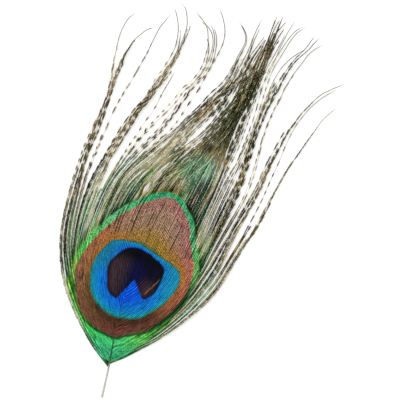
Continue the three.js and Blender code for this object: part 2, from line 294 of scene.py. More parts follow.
# How many barbs lie between each guide and the next, as shares.
LEFT_DENSITY = (3.5, 3.5, 6.7, 7.1, 10.8, 15.8, 17.6)
RIGHT_DENSITY = (4, 4, 4.5, 5.5, 7, 10, 9)
LEFT_STRANDS: tuple[Strand, ...] = (
    Strand("lock_left_1", 2, 1, 0.2, 0.65, 0.74, 0.2, (
        (-37, 105.5), (-37, 110), (-37.5, 114.5), (-38.5, 118), (-39.2, 124), (-40, 127.5),
        (-40.5, 131), (-40.5, 134), (-40, 137.5), (-38, 141))),
    Strand("lock_left_1", 2, 2, 0.5, 0.7, 0.86, 0.4, (
        (-36.5, 106.5), (-36.5, 114.5), (-36.2, 117.5), (-35.7, 121.5), (-35, 125.5), (-34, 130),
        (-32.5, 133), (-31, 135.5), (-28, 137.5))),
    Strand("lock_left_1", 2, 2, 0.45, 0.7, 0.8, 1.0, (), 0.93),
    Strand("lock_left_2", 2, 1, 0.2, 0.8, 0.68, 1.9, (
        (-34, 84), (-33.5, 91), (-33, 94), (-32.7, 98.5), (-32.3, 103.5), (-31.6, 108.5), (-31, 112),
        (-30.4, 115), (-29.6, 119.5), (-29, 123), (-28, 128), (-27.5, 131.5), (-26.3, 137.5),
        (-25, 140.5), (-23.5, 143.5)), 1.0, 0.12),
    Strand("lock_left_3", 6, 6, 1.3, 0.65, 0.84, 2.75, (
        (-30, 81), (-29.5, 83.5), (-28, 88.5), (-27, 93.5), (-26, 98.5), (-25, 102.5), (-24, 106.5),
        (-22, 111), (-20.5, 117), (-19, 122), (-18.3, 125.5), (-17.5, 129), (-17, 132.5),
        (-16.6, 136), (-16.5, 140.5), (-16.8, 143), (-18, 146), (-19.5, 148.5),
        (-22, 150)), 1.0, 0.12),
    Strand("lock_left_3", 2, 2, 0.5, 0.8, 0.6, 3.0, (
        (-26, 98.5), (-24.5, 105.5), (-22, 115.5), (-21.3, 119.5), (-20, 123), (-19, 128),
        (-18.6, 132.5), (-19, 135.5), (-20, 139.5), (-22, 143.5), (-25, 147))),
    Strand("lock_left_3", 1, 1, 0.2, 0.85, 0.58, 3.6, (
        (-23, 90.5), (-22, 94.5), (-21, 97.5), (-20.5, 101), (-19.8, 104), (-19, 106.5), (-18, 111),
        (-17.3, 115.5), (-16.5, 120), (-16, 124.5)), 1.0, 0.14),
    Strand("lock_left_4", 2, 2, 0.7, 0.8, 0.62, 3.8, (
        (-23, 86.5), (-21, 93), (-19, 98), (-17, 103), (-14.5, 109), (-12.3, 114.5), (-11, 119),
        (-9, 122), (-7.2, 126.5), (-6.6, 130.5), (-6.8, 133), (-7.5, 137.5), (-9, 140.5),
        (-11, 143.5), (-13.5, 145), (-17.5, 146.5)), 1.0, 0.14),
    Strand("lock_left_4", 3, 3, 0.9, 0.8, 0.64, 4.1, (
        (-20.5, 88), (-18.5, 93.5), (-14.7, 100), (-11.9, 107.5), (-10.5, 111.5), (-9, 117),
        (-8, 121), (-6, 126), (-4.7, 130), (-4.5, 133.5), (-4.8, 137), (-5.5, 140.5), (-7, 143.5),
        (-9.5, 146), (-13, 147.5)), 1.0, 0.14),
    Strand("lock_left_4", 2, 1, 0.3, 0.85, 0.58, 4.5, (
        (-18, 89), (-15, 93.5), (-11.8, 100.5), (-9.8, 104.5), (-8.3, 109.5), (-6.5, 116),
        (-5, 121.5), (-4.4, 127), (-3.8, 132), (-3.3, 136), (-3, 140), (-3.5, 143.5), (-4.8, 146.5),
        (-7, 149.5), (-9.5, 152)), 1.0, 0.14),
    Strand("lock_left_5", 9, 9, 2.6, 0.55, 0.86, 5.1, (
        (-10, 96.5), (-7.5, 101.5), (-4.5, 108), (-1, 114.5), (1, 120), (3.5, 125.5), (4.5, 130),
        (5, 134.5), (5.5, 139.5), (6, 143), (5.5, 145.5), (4, 148),
        (0.5, 151)), 1.0, 0.14, 0.75, 0.8),
    Strand("lock_left_5", 2, 2, 0.3, 0.6, 0.97, 5.4, (
        (-10, 96.5), (-7.5, 101.5), (-4.5, 108), (-1, 114.5), (2, 120.5), (6, 126.5), (11.1, 132.2),
        (16.2, 138)), 1.0, 0.14),
    Strand("lock_left_5", 8, 8, 2.2, 0.7, 0.9, 5.6, (
        (-6, 100.5), (-3, 106), (0, 111.5), (2.5, 116.5), (4.5, 122), (6, 126.5), (7, 131.5),
        (7.5, 136), (8, 140.5), (8, 144), (8, 146.5), (8.5, 150.5),
        (9.5, 154)), 1.0, 0.22, 0.75, 0.9),
    Strand("lock_centre", 7, 7, 3.7, 0.7, 0.84, 6.0, (
        (-1.2, 94), (2.8, 102.5), (6.8, 112), (8.8, 120.5), (9.4, 129), (10.2, 137.5), (11.4, 143),
        (12.6, 149), (13.4, 154)), 0.95, 0.18, 0.75, 1.2),
    Strand("lock_centre", 7, 7, 3.3, 0.8, 0.9, 6.5, (
        (3, 101.5), (8.4, 114), (10.2, 122), (10.8, 131), (11.6, 139.5), (12.6, 146), (13.2, 151)),
        0.94, 0.2, 0.85, 1.2),
    Strand("lock_centre", 8, 8, 3.0, 0.85, 0.9, 7.0, (
        (5, 101), (8.6, 110), (10.8, 119.5), (11.8, 129), (12.4, 137), (13.2, 144), (14, 152)),
        0.94, 0.2, 0.85, 1.2),
)  # fmt: skip
RIGHT_STRANDS: tuple[Strand, ...] = (
    Strand("lock_right_1", 3, 2, 0.3, 0.1, 0.96, 0.05, (
        (33, 79.5), (34, 84.5), (34.6, 91), (35.5, 98.5), (36.5, 105.5), (38, 112.5), (38.9, 116),
        (39.6, 118.5), (41, 123), (42.1, 126.5), (44, 130), (45.5, 132.5)), 1.0, 0.1),
    Strand("lock_right_2", 2, 1, 0.2, 0.25, 0.66, 0.9, (
        (30.5, 81), (31, 85), (31.4, 91.5), (31.6, 98), (32.3, 106), (32.6, 112.5), (33, 117.5),
        (33.7, 122), (35, 126.5), (36.3, 130), (39, 135), (42.5, 139.5)), 1.0, 0.12),
    Strand("lock_right_2", 6, 5, 1.0, 0.6, 0.88, 2.0, (
        (25.5, 76.5), (26.3, 79.5), (27.2, 84.5), (28.2, 91), (28.8, 96), (29, 101), (30, 109.5),
        (30.5, 114.5), (31.1, 118.5), (32, 121.5), (33.1, 126), (34.5, 129.5), (36, 133), (37.7, 136),
        (40, 138.5), (42.5, 141), (44.5, 143)), 1.0, 0.12),
    Strand("lock_right_3", 2, 1, 0.3, 0.5, 0.6, 2.75, (
        (23.5, 120.5), (24.5, 132), (25.6, 137), (26.9, 141), (28, 144), (29.2, 148), (30.7, 150.5),
        (33, 153.5)), 1.0, 0.22),
    Strand("lock_right_3", 5, 4, 0.9, 0.85, 0.82, 3.3, (
        (20.5, 105.5), (20.5, 112), (20.4, 118.5), (20.6, 123.5), (21, 127.5), (21.5, 131), (22, 135),
        (23, 139.5), (24.6, 144), (26.3, 147), (27.8, 149.5), (29, 152.5), (30.5, 155.5)), 1.0, 0.22),
    Strand("lock_right_4", 2, 1, 0.3, 0.4, 0.6, 3.65, (
        (19.5, 129), (19.9, 133.5), (20.7, 138.2), (22, 142.6), (23.8, 146.5), (26, 150))),
    Strand("lock_right_4", 3, 2, 0.8, 0.6, 0.62, 4.0, (
        (18.5, 107), (18.2, 112), (18, 117), (17.8, 122), (17.6, 129.5), (17.6, 137.5), (18.2, 141.5),
        (19.2, 145.5), (20.3, 149.5), (22, 154), (24.5, 157))),
    Strand("lock_right_4", 2, 2, 0.5, 0.45, 0.6, 4.5, (
        (16, 132), (16.8, 138.5), (17.5, 145), (18, 148.5), (18.7, 153), (20, 158))),
    Strand("lock_right_5", 3, 3, 0.6, 0.8, 1.0, 4.7, (), 0.88),
    Strand("lock_right_5", 3, 3, 0.6, 0.85, 1.04, 5.05, (), 0.92),
    Strand("lock_right_5", 3, 3, 0.6, 0.85, 1.04, 5.4, (), 0.96),
    Strand("lock_centre", 4, 4, 1.2, 0.85, 1.0, 5.8),
    Strand("lock_centre", 4, 4, 1.2, 0.85, 1.0, 6.3),
    Strand("lock_centre", 9, 9, 3.0, 0.85, 0.86, 7.0, (
        (4.5, 100.5), (6, 107.5), (8.3, 115), (10.8, 121), (11.8, 126.5), (12.3, 131), (12.7, 138),
        (13, 142), (13.5, 146), (14, 150), (14.4, 156)), 0.95, 0.3, 0.82, 1.2),
)  # fmt: skip


SHAFT_LINE: Points = (
    (0, 0), (-1.5, 11.5), (-3.5, 24), (-4.5, 30.5), (-4.5, 37.5), (-4.2, 45.5), (-4, 53),
)  # fmt: skip
# A small split above the eye, where the barbs stand apart.
SPLIT_SPOT = (-11.2, 79.7)
# The middle of the stretch where the inner locks cross, which gets painted shade, and of the teal patch
# with a painted sheen under it.
CROSSING = (6.3, 110.5)
TEAL_SHEEN_SPOT = (5.4, 92.1)
# The unit directions across and along that stretch.
CROSSING_WAYS = ((0.958, -0.287), (0.287, 0.958))
# The tip of the bright notch in the heart of the eye, and the directions inwards from its two sides.
NOTCH_TIP = (-3.5, 46.1)
NOTCH_WAYS = ((0.912, -0.409), (-0.761, -0.649))
# The lower end of the painted highlight, an ochre line along a barb beside it, and the directions across
# and along that line.
PAINTED_HIGHLIGHT_ROOT = (1.78, 42.03)
PAINTED_HIGHLIGHT_WAYS = ((0.894, -0.449), (0.449, 0.894))


# The middle of the vane's arch, how far it reaches across and along, and its height, in mm.
ARCH_MIDDLE = (-2, 64)
ARCH_REACH = (41, 53)
ARCH_HEIGHT = 4
# The end of the range that a wave's start is drawn from: a full turn in radians.
TURN = 6.3


def sway(phase: np.ndarray, rng: np.random.Generator) -> np.ndarray:
    """A wave between -1 and 1 that starts anywhere."""
    return np.sin(phase + rng.uniform(0, TURN))


def arch(x: np.ndarray, y: np.ndarray) -> np.ndarray:
    """The height of the vane's underside over the ground, in mm, as the frame has it.

    Args:
        x: places across the feather, in mm.
        y: places along the feather, in mm.

    Returns:
        The height at each place.
    """
    across, along = (
        np.cos(np.minimum(1, np.abs(value - middle) / reach) * math.pi / 2)
        for value, middle, reach in zip((x, y), ARCH_MIDDLE, ARCH_REACH)
    )
    return ARCH_HEIGHT * (across * along) ** 2


@dataclass
class Barb:
    """One barb from the shaft to its tip.

    Attributes:
        line: its points in mm, one row each.
        run: the distance from the shaft at each point, in mm.
        pitch: the room that it has between its neighbours at each point, in mm.
        loose: 0 within the vane, rising to 1 at the end of its group's line.
        strand: the group that it belongs to.
        shade: its own random number from 0 to 1.
        cuts: the indices at which it leaves the eye and the margin.
        rim: the distance from the shaft at which it leaves the eye's green border, in mm.
        order: its number within its flank.
    """

    line: np.ndarray
    run: np.ndarray
    pitch: np.ndarray
    loose: np.ndarray
    strand: Strand
    shade: float
    cuts: tuple[int, int]
    rim: float
    order: int = 0

    def channels(self, **values: np.ndarray | float) -> dict[str, np.ndarray | float]:
        """The values that its fibres store: its own, and those that differ along it."""
        return {"shade": self.shade, "order": float(self.order), "tone": self.strand.tone, **values}


@dataclass
class Fan:
    """All the barbs of one flank.

    Attributes:
        flank: the side of the shaft.
        guides: lines from the shaft to the tips, the outermost first.
        strands: the groups past the margin, the outermost first.
        density: how many barbs lie between each guide and the next, as shares.
        wander: how far a loose barb strays from its group's line, in mm.
        lift: the height of a barb's middle over the underside of the vane, in mm.
        clumping: how far neighbouring barbs are drawn together past the eye, as a share.
        bundle: the least and the most barbs that are drawn together.
        root_off: how far a barb's root stands off the middle of the shaft, in mm.
        root_ease: the distance over which a guide is drawn to the shaft, in mm.
        together: where a group without a line of its own has come together, as a share.
        seam: how many points a group's own line keeps clear of the ends of the guide.
        window: over how many points the seam between the two is smoothed.
        seam_reach: how many points the smoothing fades over.
        curl_from: where a tip starts to curl, as a share.
        earliest: the least share at which a group starts to come together.
        shift: how far a barb strays from its even place in the vane, as a share of that place.
        clump_over: over how many points past the eye neighbours draw together.
        clump_until: the points between which they part again.
        belly: how much higher the barbs lie in the middle of the vane, in mm.
        belly_from: where along the feather that starts, in mm.
        belly_until: where it ends.
        rise: how high the middle of a loose barb may lie over the arch, in mm.
        tip_rise: how much higher its tip may lie, in mm.
        tip_from: where that starts, as a share of the loose stretch.
        lowest: the least height of a barb's middle, in mm.
        split_size: how far the split reaches across and along, in mm.
        split_push: how far it pushes the barbs aside, in mm.
        lines: the smoothed guides.
    """

    flank: Flank
    guides: tuple[Points, ...]
    strands: tuple[Strand, ...]
    density: tuple[float, ...]
    wander: float = 0.28
    lift: float = 0.42
    clumping: float = 0.3
    bundle: tuple[int, int] = (2, 4)
    root_off: float = 0.12
    root_ease: float = 7
    together: float = 0.62
    seam: int = 20
    window: int = 25
    seam_reach: float = 16
    curl_from: float = 0.86
    earliest: float = 0.2
    shift: float = 0.08
    clump_over: float = 24
    clump_until: tuple[float, float] = (118, 90)
    belly: float = 0.3
    belly_from: tuple[float, float] = (22, 32)
    belly_until: tuple[float, float] = (70, 60)
    rise: float = 0.9
    tip_rise: float = 2.2
    tip_from: float = 0.55
    lowest: float = 0.34
    split_size: tuple[float, float] = (1.3, 2.2)
    split_push: float = 0.9
    lines: list[np.ndarray] = field(default_factory=list)

    def __post_init__(self) -> None:
        """Smooths the guides."""
        shaft = np.array(SHAFT_LINE, float)
        for guide in self.guides:
            line = smooth_line(np.array(guide, float), SAMPLES)
            root_x = np.interp(line[0, 1], shaft[:, 1], shaft[:, 0]) + self.root_off * self.inner
            line[:, 0] += (root_x - line[0, 0]) * (1 - ease(run_of(line), 0, self.root_ease))
            self.lines.append(line)

    @property
    def inner(self) -> float:
        """The way across the feather from this flank to the other one."""
        return 1.0 if self.flank is Flank.LEFT else -1.0

    def guide(self, place: float) -> np.ndarray:
        """The line at a place between the guides.

        Args:
            place: 0 for the outermost guide, 7 for the one next to the shaft.

        Returns:
            Its points in mm.
        """
        low = min(int(place), len(self.lines) - 2)
        part = place - low
        return self.lines[low] * (1 - part) + self.lines[low + 1] * part

    def spine(self, strand: Strand) -> tuple[np.ndarray, float]:
        """The middle line of a group.

        Args:
            strand: the group.

        Returns:
            Its points in mm, and the share of it at which the group has come together.
        """
        line = self.guide(strand.place)
        if not strand.trace:
            return line, self.together
        trace = smooth_line(np.array(strand.trace, float), TRACE_SAMPLES)
        leave = int(np.argmin(np.linalg.norm(line - trace[0], axis=1)))
        leave = int(np.clip(leave, self.seam, SAMPLES - self.seam))
        joined = even_line(np.vstack([line[: leave - 3], even_line(trace, SAMPLES - leave)]), SAMPLES)
        eased = np.column_stack([averaged(joined[:, k], self.window) for k in range(2)])
        near = np.exp(-(((np.arange(SAMPLES) - leave) / self.seam_reach) ** 2))[:, None]
        return joined * (1 - near) + eased * near, leave / SAMPLES

    def barbs(self, rng: np.random.Generator) -> list[Barb]:
        """Lays out every barb of the flank.

        Args:
            rng: the source of the small differences between barbs.

        Returns:
            The barbs, the outermost first.
        """
        total = sum(s.barbs for s in self.strands)
        filled = np.concatenate([[0.0], np.cumsum(self.density)]) / sum(self.density)
        t = np.linspace(0, 1, SAMPLES)
        lines, owners, ends, shades = [], [], [], []
        for strand in self.strands:
            spine, together = self.spine(strand)
            weight = ease(t, max(self.earliest, together - strand.gather), together)
            long_ones = set(np.linspace(0, strand.barbs - 1, strand.loose).round().astype(int).tolist())
            if strand.loose == 1:
                long_ones = {strand.barbs // 2}
            for k in range(strand.barbs):
                shift = rng.uniform(-self.shift, self.shift)
                turn = min(1.0, (len(lines) + 0.5 + shift) / (total - 0.4))
                guide = self.guide(float(np.interp(turn, filled, np.arange(len(filled)))))
                offset = 2 * (k + 0.5) / strand.barbs - 1
                bunch = self.bunch(strand, spine, together, weight, offset, rng)
                lines.append(self.part(guide * (1 - weight[:, None]) + bunch * weight[:, None]))
                owners.append(strand)
                if k in long_ones:
                    short = 0.24 if strand.loose < 5 else 0.3
                    end = 1 - short * rng.uniform(0, 1) ** 1.5 * (k != min(long_ones))
                else:
                    end = together + rng.uniform(0.0, 0.12)
                ends.append(strand.reach * float(end))
                shades.append(float(rng.uniform(0, 1)))
        self.clump(lines, owners)
        result = []
        for n, line in enumerate(lines):
            before, after = lines[max(0, n - 1)], lines[min(len(lines) - 1, n + 1)]
            way = heading(line)
            gap = np.abs(((after - before) * np.column_stack([-way[:, 1], way[:, 0]])).sum(axis=1))
            gap = gap / (2 if 0 < n < len(lines) - 1 else 1)
            result.append(self.finish_barb(line, gap, owners[n], ends[n], shades[n], rng))
            result[-1].order = n
        return result

    def bunch(
        self,
        strand: Strand,
        spine: np.ndarray,
        together: float,
        weight: np.ndarray,
        offset: float,
        rng: np.random.Generator,
    ) -> np.ndarray:
        """The line of one barb within its group.

        Args:
            strand: the group.
            spine: the group's middle line.
            together: the share of it at which the group has come together.
            weight: how far the group has come together at each point.
            offset: the barb's place in the group, from -1 to 1.
            rng: the source of the small differences.

        Returns:
            Its points in mm.
        """
        t = np.linspace(0, 1, SAMPLES)
        way = heading(spine)
        side = self.inner * np.column_stack([way[:, 1], -way[:, 0]])
        offset = float(np.clip(offset + rng.normal(0, 0.15 / max(1.0, strand.spread)), -1.1, 1.1))
        past = np.clip((t - together) / (1 - together), 0, 1)
        width = 1.25 * strand.spread * (1 - strand.taper * past**strand.curve)
        slow = sway(t * rng.uniform(9, 17), rng)
        wave = self.wander * weight * (slow + 0.6 * sway(t * rng.uniform(24, 40), rng))
        curl = rng.normal(0, 1.2) * np.clip((t - self.curl_from) / (1 - self.curl_from), 0, 1) ** 2
        return spine + side * (offset * width + wave + curl)[:, None]

    def clump(self, lines: list[np.ndarray], owners: list[Strand]) -> None:
        """Draws neighbouring barbs of a group a little together past the eye, so that gaps show.

        Args:
            lines: the barbs' lines, which it changes.
            owners: the group of each.
        """
        rng = np.random.default_rng(SEED)
        at = np.arange(SAMPLES)
        start = 0
        while start < len(lines):
            size = int(rng.integers(self.bundle[0], self.bundle[1] + 1))
            end = start + 1
            while end < len(lines) and end - start < size and owners[end] is owners[start]:
                end += 1
            middle = np.mean(lines[start:end], axis=0)
            within = np.flatnonzero(inside(middle, EYE_OUTLINE))
            leave = int(within[-1]) if len(within) else 0
            drawn = ease(at, leave, leave + self.clump_over) * ease(at, *self.clump_until)
            pull = (self.clumping * drawn)[:, None]
            for n in range(start, end):
                lines[n] = lines[n] + (middle - lines[n]) * pull
            start = end

    def part(self, line: np.ndarray) -> np.ndarray:
        """Pushes a line aside where the vane is split.

        Args:
            line: the line's points in mm.

        Returns:
            The line with its points pushed away from the split.
        """
        off = line - np.array(SPLIT_SPOT)
        wide, tall = self.split_size
        near = np.exp(-((off[:, 0] / wide) ** 2) - (off[:, 1] / tall) ** 2)
        pushed = line.copy()
        pushed[:, 0] += self.split_push * near * (1 if off[np.argmin(np.abs(off[:, 1])), 0] > 0 else -1)
        return pushed

    def finish_barb(
        self,
        line: np.ndarray,
        gap: np.ndarray,
        strand: Strand,
        end: float,
        shade: float,
        rng: np.random.Generator,
    ) -> Barb:
        """Gives a barb its height, its length and its cuts.

        Args:
            line: its plan line in mm.
            gap: half the distance between its neighbours, in mm.
            strand: its group.
            end: the share of the line that it covers.
            shade: its own random number.
            rng: the source of small differences.

        Returns:
            The barb.
        """
        keep = max(40, int(round(SAMPLES * end)))
        line, gap = line[:keep], gap[:keep]
        t = np.arange(keep) / SAMPLES
        in_eye, in_margin = inside(line, EYE_OUTLINE), inside(line, MARGIN_OUTLINE)
        eye_end = int(np.flatnonzero(in_eye)[-1]) if in_eye.any() else 0
        eye_end = eye_end if eye_end > 3 else 0
        margin_end = int(np.flatnonzero(in_margin)[-1]) if in_margin.any() else eye_end
        margin_end = int(np.clip(max(margin_end, eye_end + 2), 2, keep - 3))
        loose = np.clip((np.arange(keep) - margin_end) / (SAMPLES - margin_end), 0, 1)
        height = arch(line[:, 0], line[:, 1]) + self.lift
        belly = self.belly * ease(line[:, 1], *self.belly_from) * ease(line[:, 1], *self.belly_until)
        height = height + belly
        free = ease(loose, 0, 0.35)
        rise = rng.uniform(0, self.rise) + 0.35 * sway(t * rng.uniform(10, 22), rng) + 0.1
        tip = np.clip((loose - self.tip_from) / (1 - self.tip_from), 0, 1) ** 2
        height = height + free * rise + rng.uniform(0, self.tip_rise) * tip
        points = np.column_stack([line, np.maximum(height, self.lowest)])
        smooth = averaged(gap, 9)
        run = run_of(points)
        off = line - np.array(EYE_CENTRE)
        turn = np.degrees(np.arctan2(off[:, 1], off[:, 0])) % 360
        table = np.array(GREEN_RIM)
        border = np.interp(turn, table[:, 0], table[:, 1], period=360)
        bright = np.hypot(off[:, 0], off[:, 1]) < border
        rim = float(run[np.flatnonzero(bright)[-1]]) if bright.any() else 0.0
        return Barb(points, run, smooth, loose, strand, shade, (eye_end, margin_end), rim)


# ------------------------------------------------------------------------------------------ meshes


@dataclass(frozen=True)
class SeedShape:
    """A small closed shape that many fibres copy.

    Attributes:
        points: its corners. The third number goes from 0 at the root to 1 at the tip.
        faces: its faces as corner numbers.
    """

    points: np.ndarray
    faces: tuple[tuple[int, ...], ...]

    @staticmethod
    @cache
    def cone(sides: int, rings: int, tip: float) -> "SeedShape":
        """Makes a straight bar or spike, once for each form.

        Args:
            sides: how many sides it has.
            rings: how many stretches it has along its length.
            tip: its radius at the tip, where the root's is 0.5.

        Returns:
            The shape, from height 0 to 1.
        """
        bm = bmesh.new()
        bmesh.ops.create_cone(
            bm, cap_ends=True, cap_tris=False, segments=sides, radius1=0.5, radius2=tip, depth=1.0
        )
        upright = [e for e in bm.edges if abs(e.verts[0].co.z - e.verts[1].co.z) > 0.5]
        if rings > 1:
            bmesh.ops.subdivide_edges(bm, edges=upright, cuts=rings - 1)
        bmesh.ops.translate(bm, verts=bm.verts, vec=Vector((0, 0, 0.5)))
        bmesh.ops.recalc_face_normals(bm, faces=bm.faces)
        bm.verts.index_update()
        points = np.array([v.co[:] for v in bm.verts], float)
        faces = tuple(tuple(v.index for v in f.verts) for f in bm.faces)
        bm.free()
        return SeedShape(points, faces)


# The numbers that each corner of a fibre stores: its barb's own random number and dark tone, its place
# across the bar or barbule and along the barb, whether it is a barbule, how loose the barb is there, the
# barbule's own random number, and the barb's number in its flank.
CHANNELS = ("shade", "tone", "edge", "run", "barbule", "loose", "fleck", "order")
# The edge that the map from above leaves free.
EDGE = 0.01


class FibreMesh:
    """Collects copies of seed shapes and joins them into one object."""

    def __init__(self, name: str) -> None:
        """Starts an empty piece.

        Args:
            name: the name that its object gets.
        """
        self.name = name
        self._points: list[np.ndarray] = []
        self._loops: list[np.ndarray] = []
        self._sizes: list[np.ndarray] = []
        self._values: dict[str, list[np.ndarray]] = {c: [] for c in CHANNELS}
        self._count = 0

    def add(self, seed: SeedShape, placed: np.ndarray, values: dict[str, np.ndarray | float]) -> None:
        """Adds one or many placed copies of a seed shape.

        Args:
            seed: the shape.
            placed: the corners of the copies in mm, as (copies, corners, 3).
            values: for each channel that isn't 0, what fits (copies, corners).
        """
        copies, corners = placed.shape[:2]
        base = self._count + corners * np.arange(copies)[:, None]
        for size in sorted({len(f) for f in seed.faces}):
            group = np.array([f for f in seed.faces if len(f) == size])
            loops = base[:, :, None] + group[None, :, :]
            self._loops.append(loops.reshape(-1))
            self._sizes.append(np.full(copies * len(group), size))
        self._points.append(placed.reshape(-1, 3))
        for channel in CHANNELS:
            full = np.broadcast_to(values.get(channel, 0.0), (copies, corners))
            self._values[channel].append(full.reshape(-1))
        self._count += copies * corners

    def build(self) -> bpy.types.Object:
        """Joins what was added into one object at the origin.

        Returns:
            The object, in metres in the frame's axes.
        """
        points = np.vstack(self._points)
        points[:, 0] += CENTRE_OFFSET[0]
        points[:, 1] += CENTRE_OFFSET[1]
        loops = np.concatenate(self._loops).astype(np.int32)
        sizes = np.concatenate(self._sizes).astype(np.int32)
        mesh = bpy.data.meshes.new(self.name)
        mesh.vertices.add(len(points))
        mesh.vertices.foreach_set("co", (points * MM).astype(np.float32).ravel())
        mesh.loops.add(len(loops))
        mesh.loops.foreach_set("vertex_index", loops)
        mesh.polygons.add(len(sizes))
        starts = np.concatenate([[0], np.cumsum(sizes)[:-1]]).astype(np.int32)
        mesh.polygons.foreach_set("loop_start", starts)
        for channel in CHANNELS:
            layer = mesh.attributes.new(channel, "FLOAT", "POINT")
            layer.data.foreach_set("value", np.concatenate(self._values[channel]).astype(np.float32))
        self._plan_uv(mesh, points, loops)
        mesh.update(calc_edges=True)
        mesh.validate()
        piece = bpy.data.objects.new(self.name, mesh)
        bpy.context.scene.collection.objects.link(piece)
        return piece

    @staticmethod
    def _plan_uv(mesh: bpy.types.Mesh, points: np.ndarray, loops: np.ndarray) -> None:
        """Lays a map on the piece that sees it from above.

        Args:
            mesh: the piece's mesh.
            points: its corners.
            loops: the corner of each loop.
        """
        low, high = points[:, :2].min(axis=0), points[:, :2].max(axis=0)
        plan = EDGE + (1 - 2 * EDGE) * (points[:, :2] - low) / (high - low).max()
        layer = mesh.uv_layers.new(name="OFBake")
        layer.uv.foreach_set("vector", plan[loops].astype(np.float32).ravel())


def frames(line: np.ndarray) -> tuple[np.ndarray, np.ndarray, np.ndarray]:
    """The directions along, across and out of a fibre.

    Args:
        line: its points, one row each.

    Returns:
        Three arrays of unit directions: along it, to its left, and up from it.
    """
    along = heading(line)
    across = np.cross(np.array([0.0, 0.0, 1.0]), along)
    across /= np.maximum(np.linalg.norm(across, axis=1, keepdims=True), 1e-9)
    return along, across, np.cross(along, across)


@dataclass(frozen=True)
class Fringe:
    """How the barbules of a zone stand on their barb.

    Attributes:
        spacing: the distance between them along the barb, in mm.
        angle: the angle between them and the barb, in degrees.
        jitter: how much that angle varies, in degrees.
        cover: how far they reach sideways, as a share of the barb's pitch.
        shortest: their least length, in mm.
        longest: their greatest length, in mm.
        wide: their width at the root, in mm.
    """

    spacing: float
    angle: float
    jitter: float
    cover: float
    shortest: float
    longest: float
    wide: float


FRINGES = {
    Zone.EYE: Fringe(0.3, 30, 5, 0.55, 0.4, 1.5, 0.15),
    Zone.MARGIN: Fringe(0.16, 12, 3, 0.5, 1.0, 1.8, 0.2),
    Zone.LOCK: Fringe(0.12, 15, 4, 0.0, 1.3, 1.3, 0.22),
}


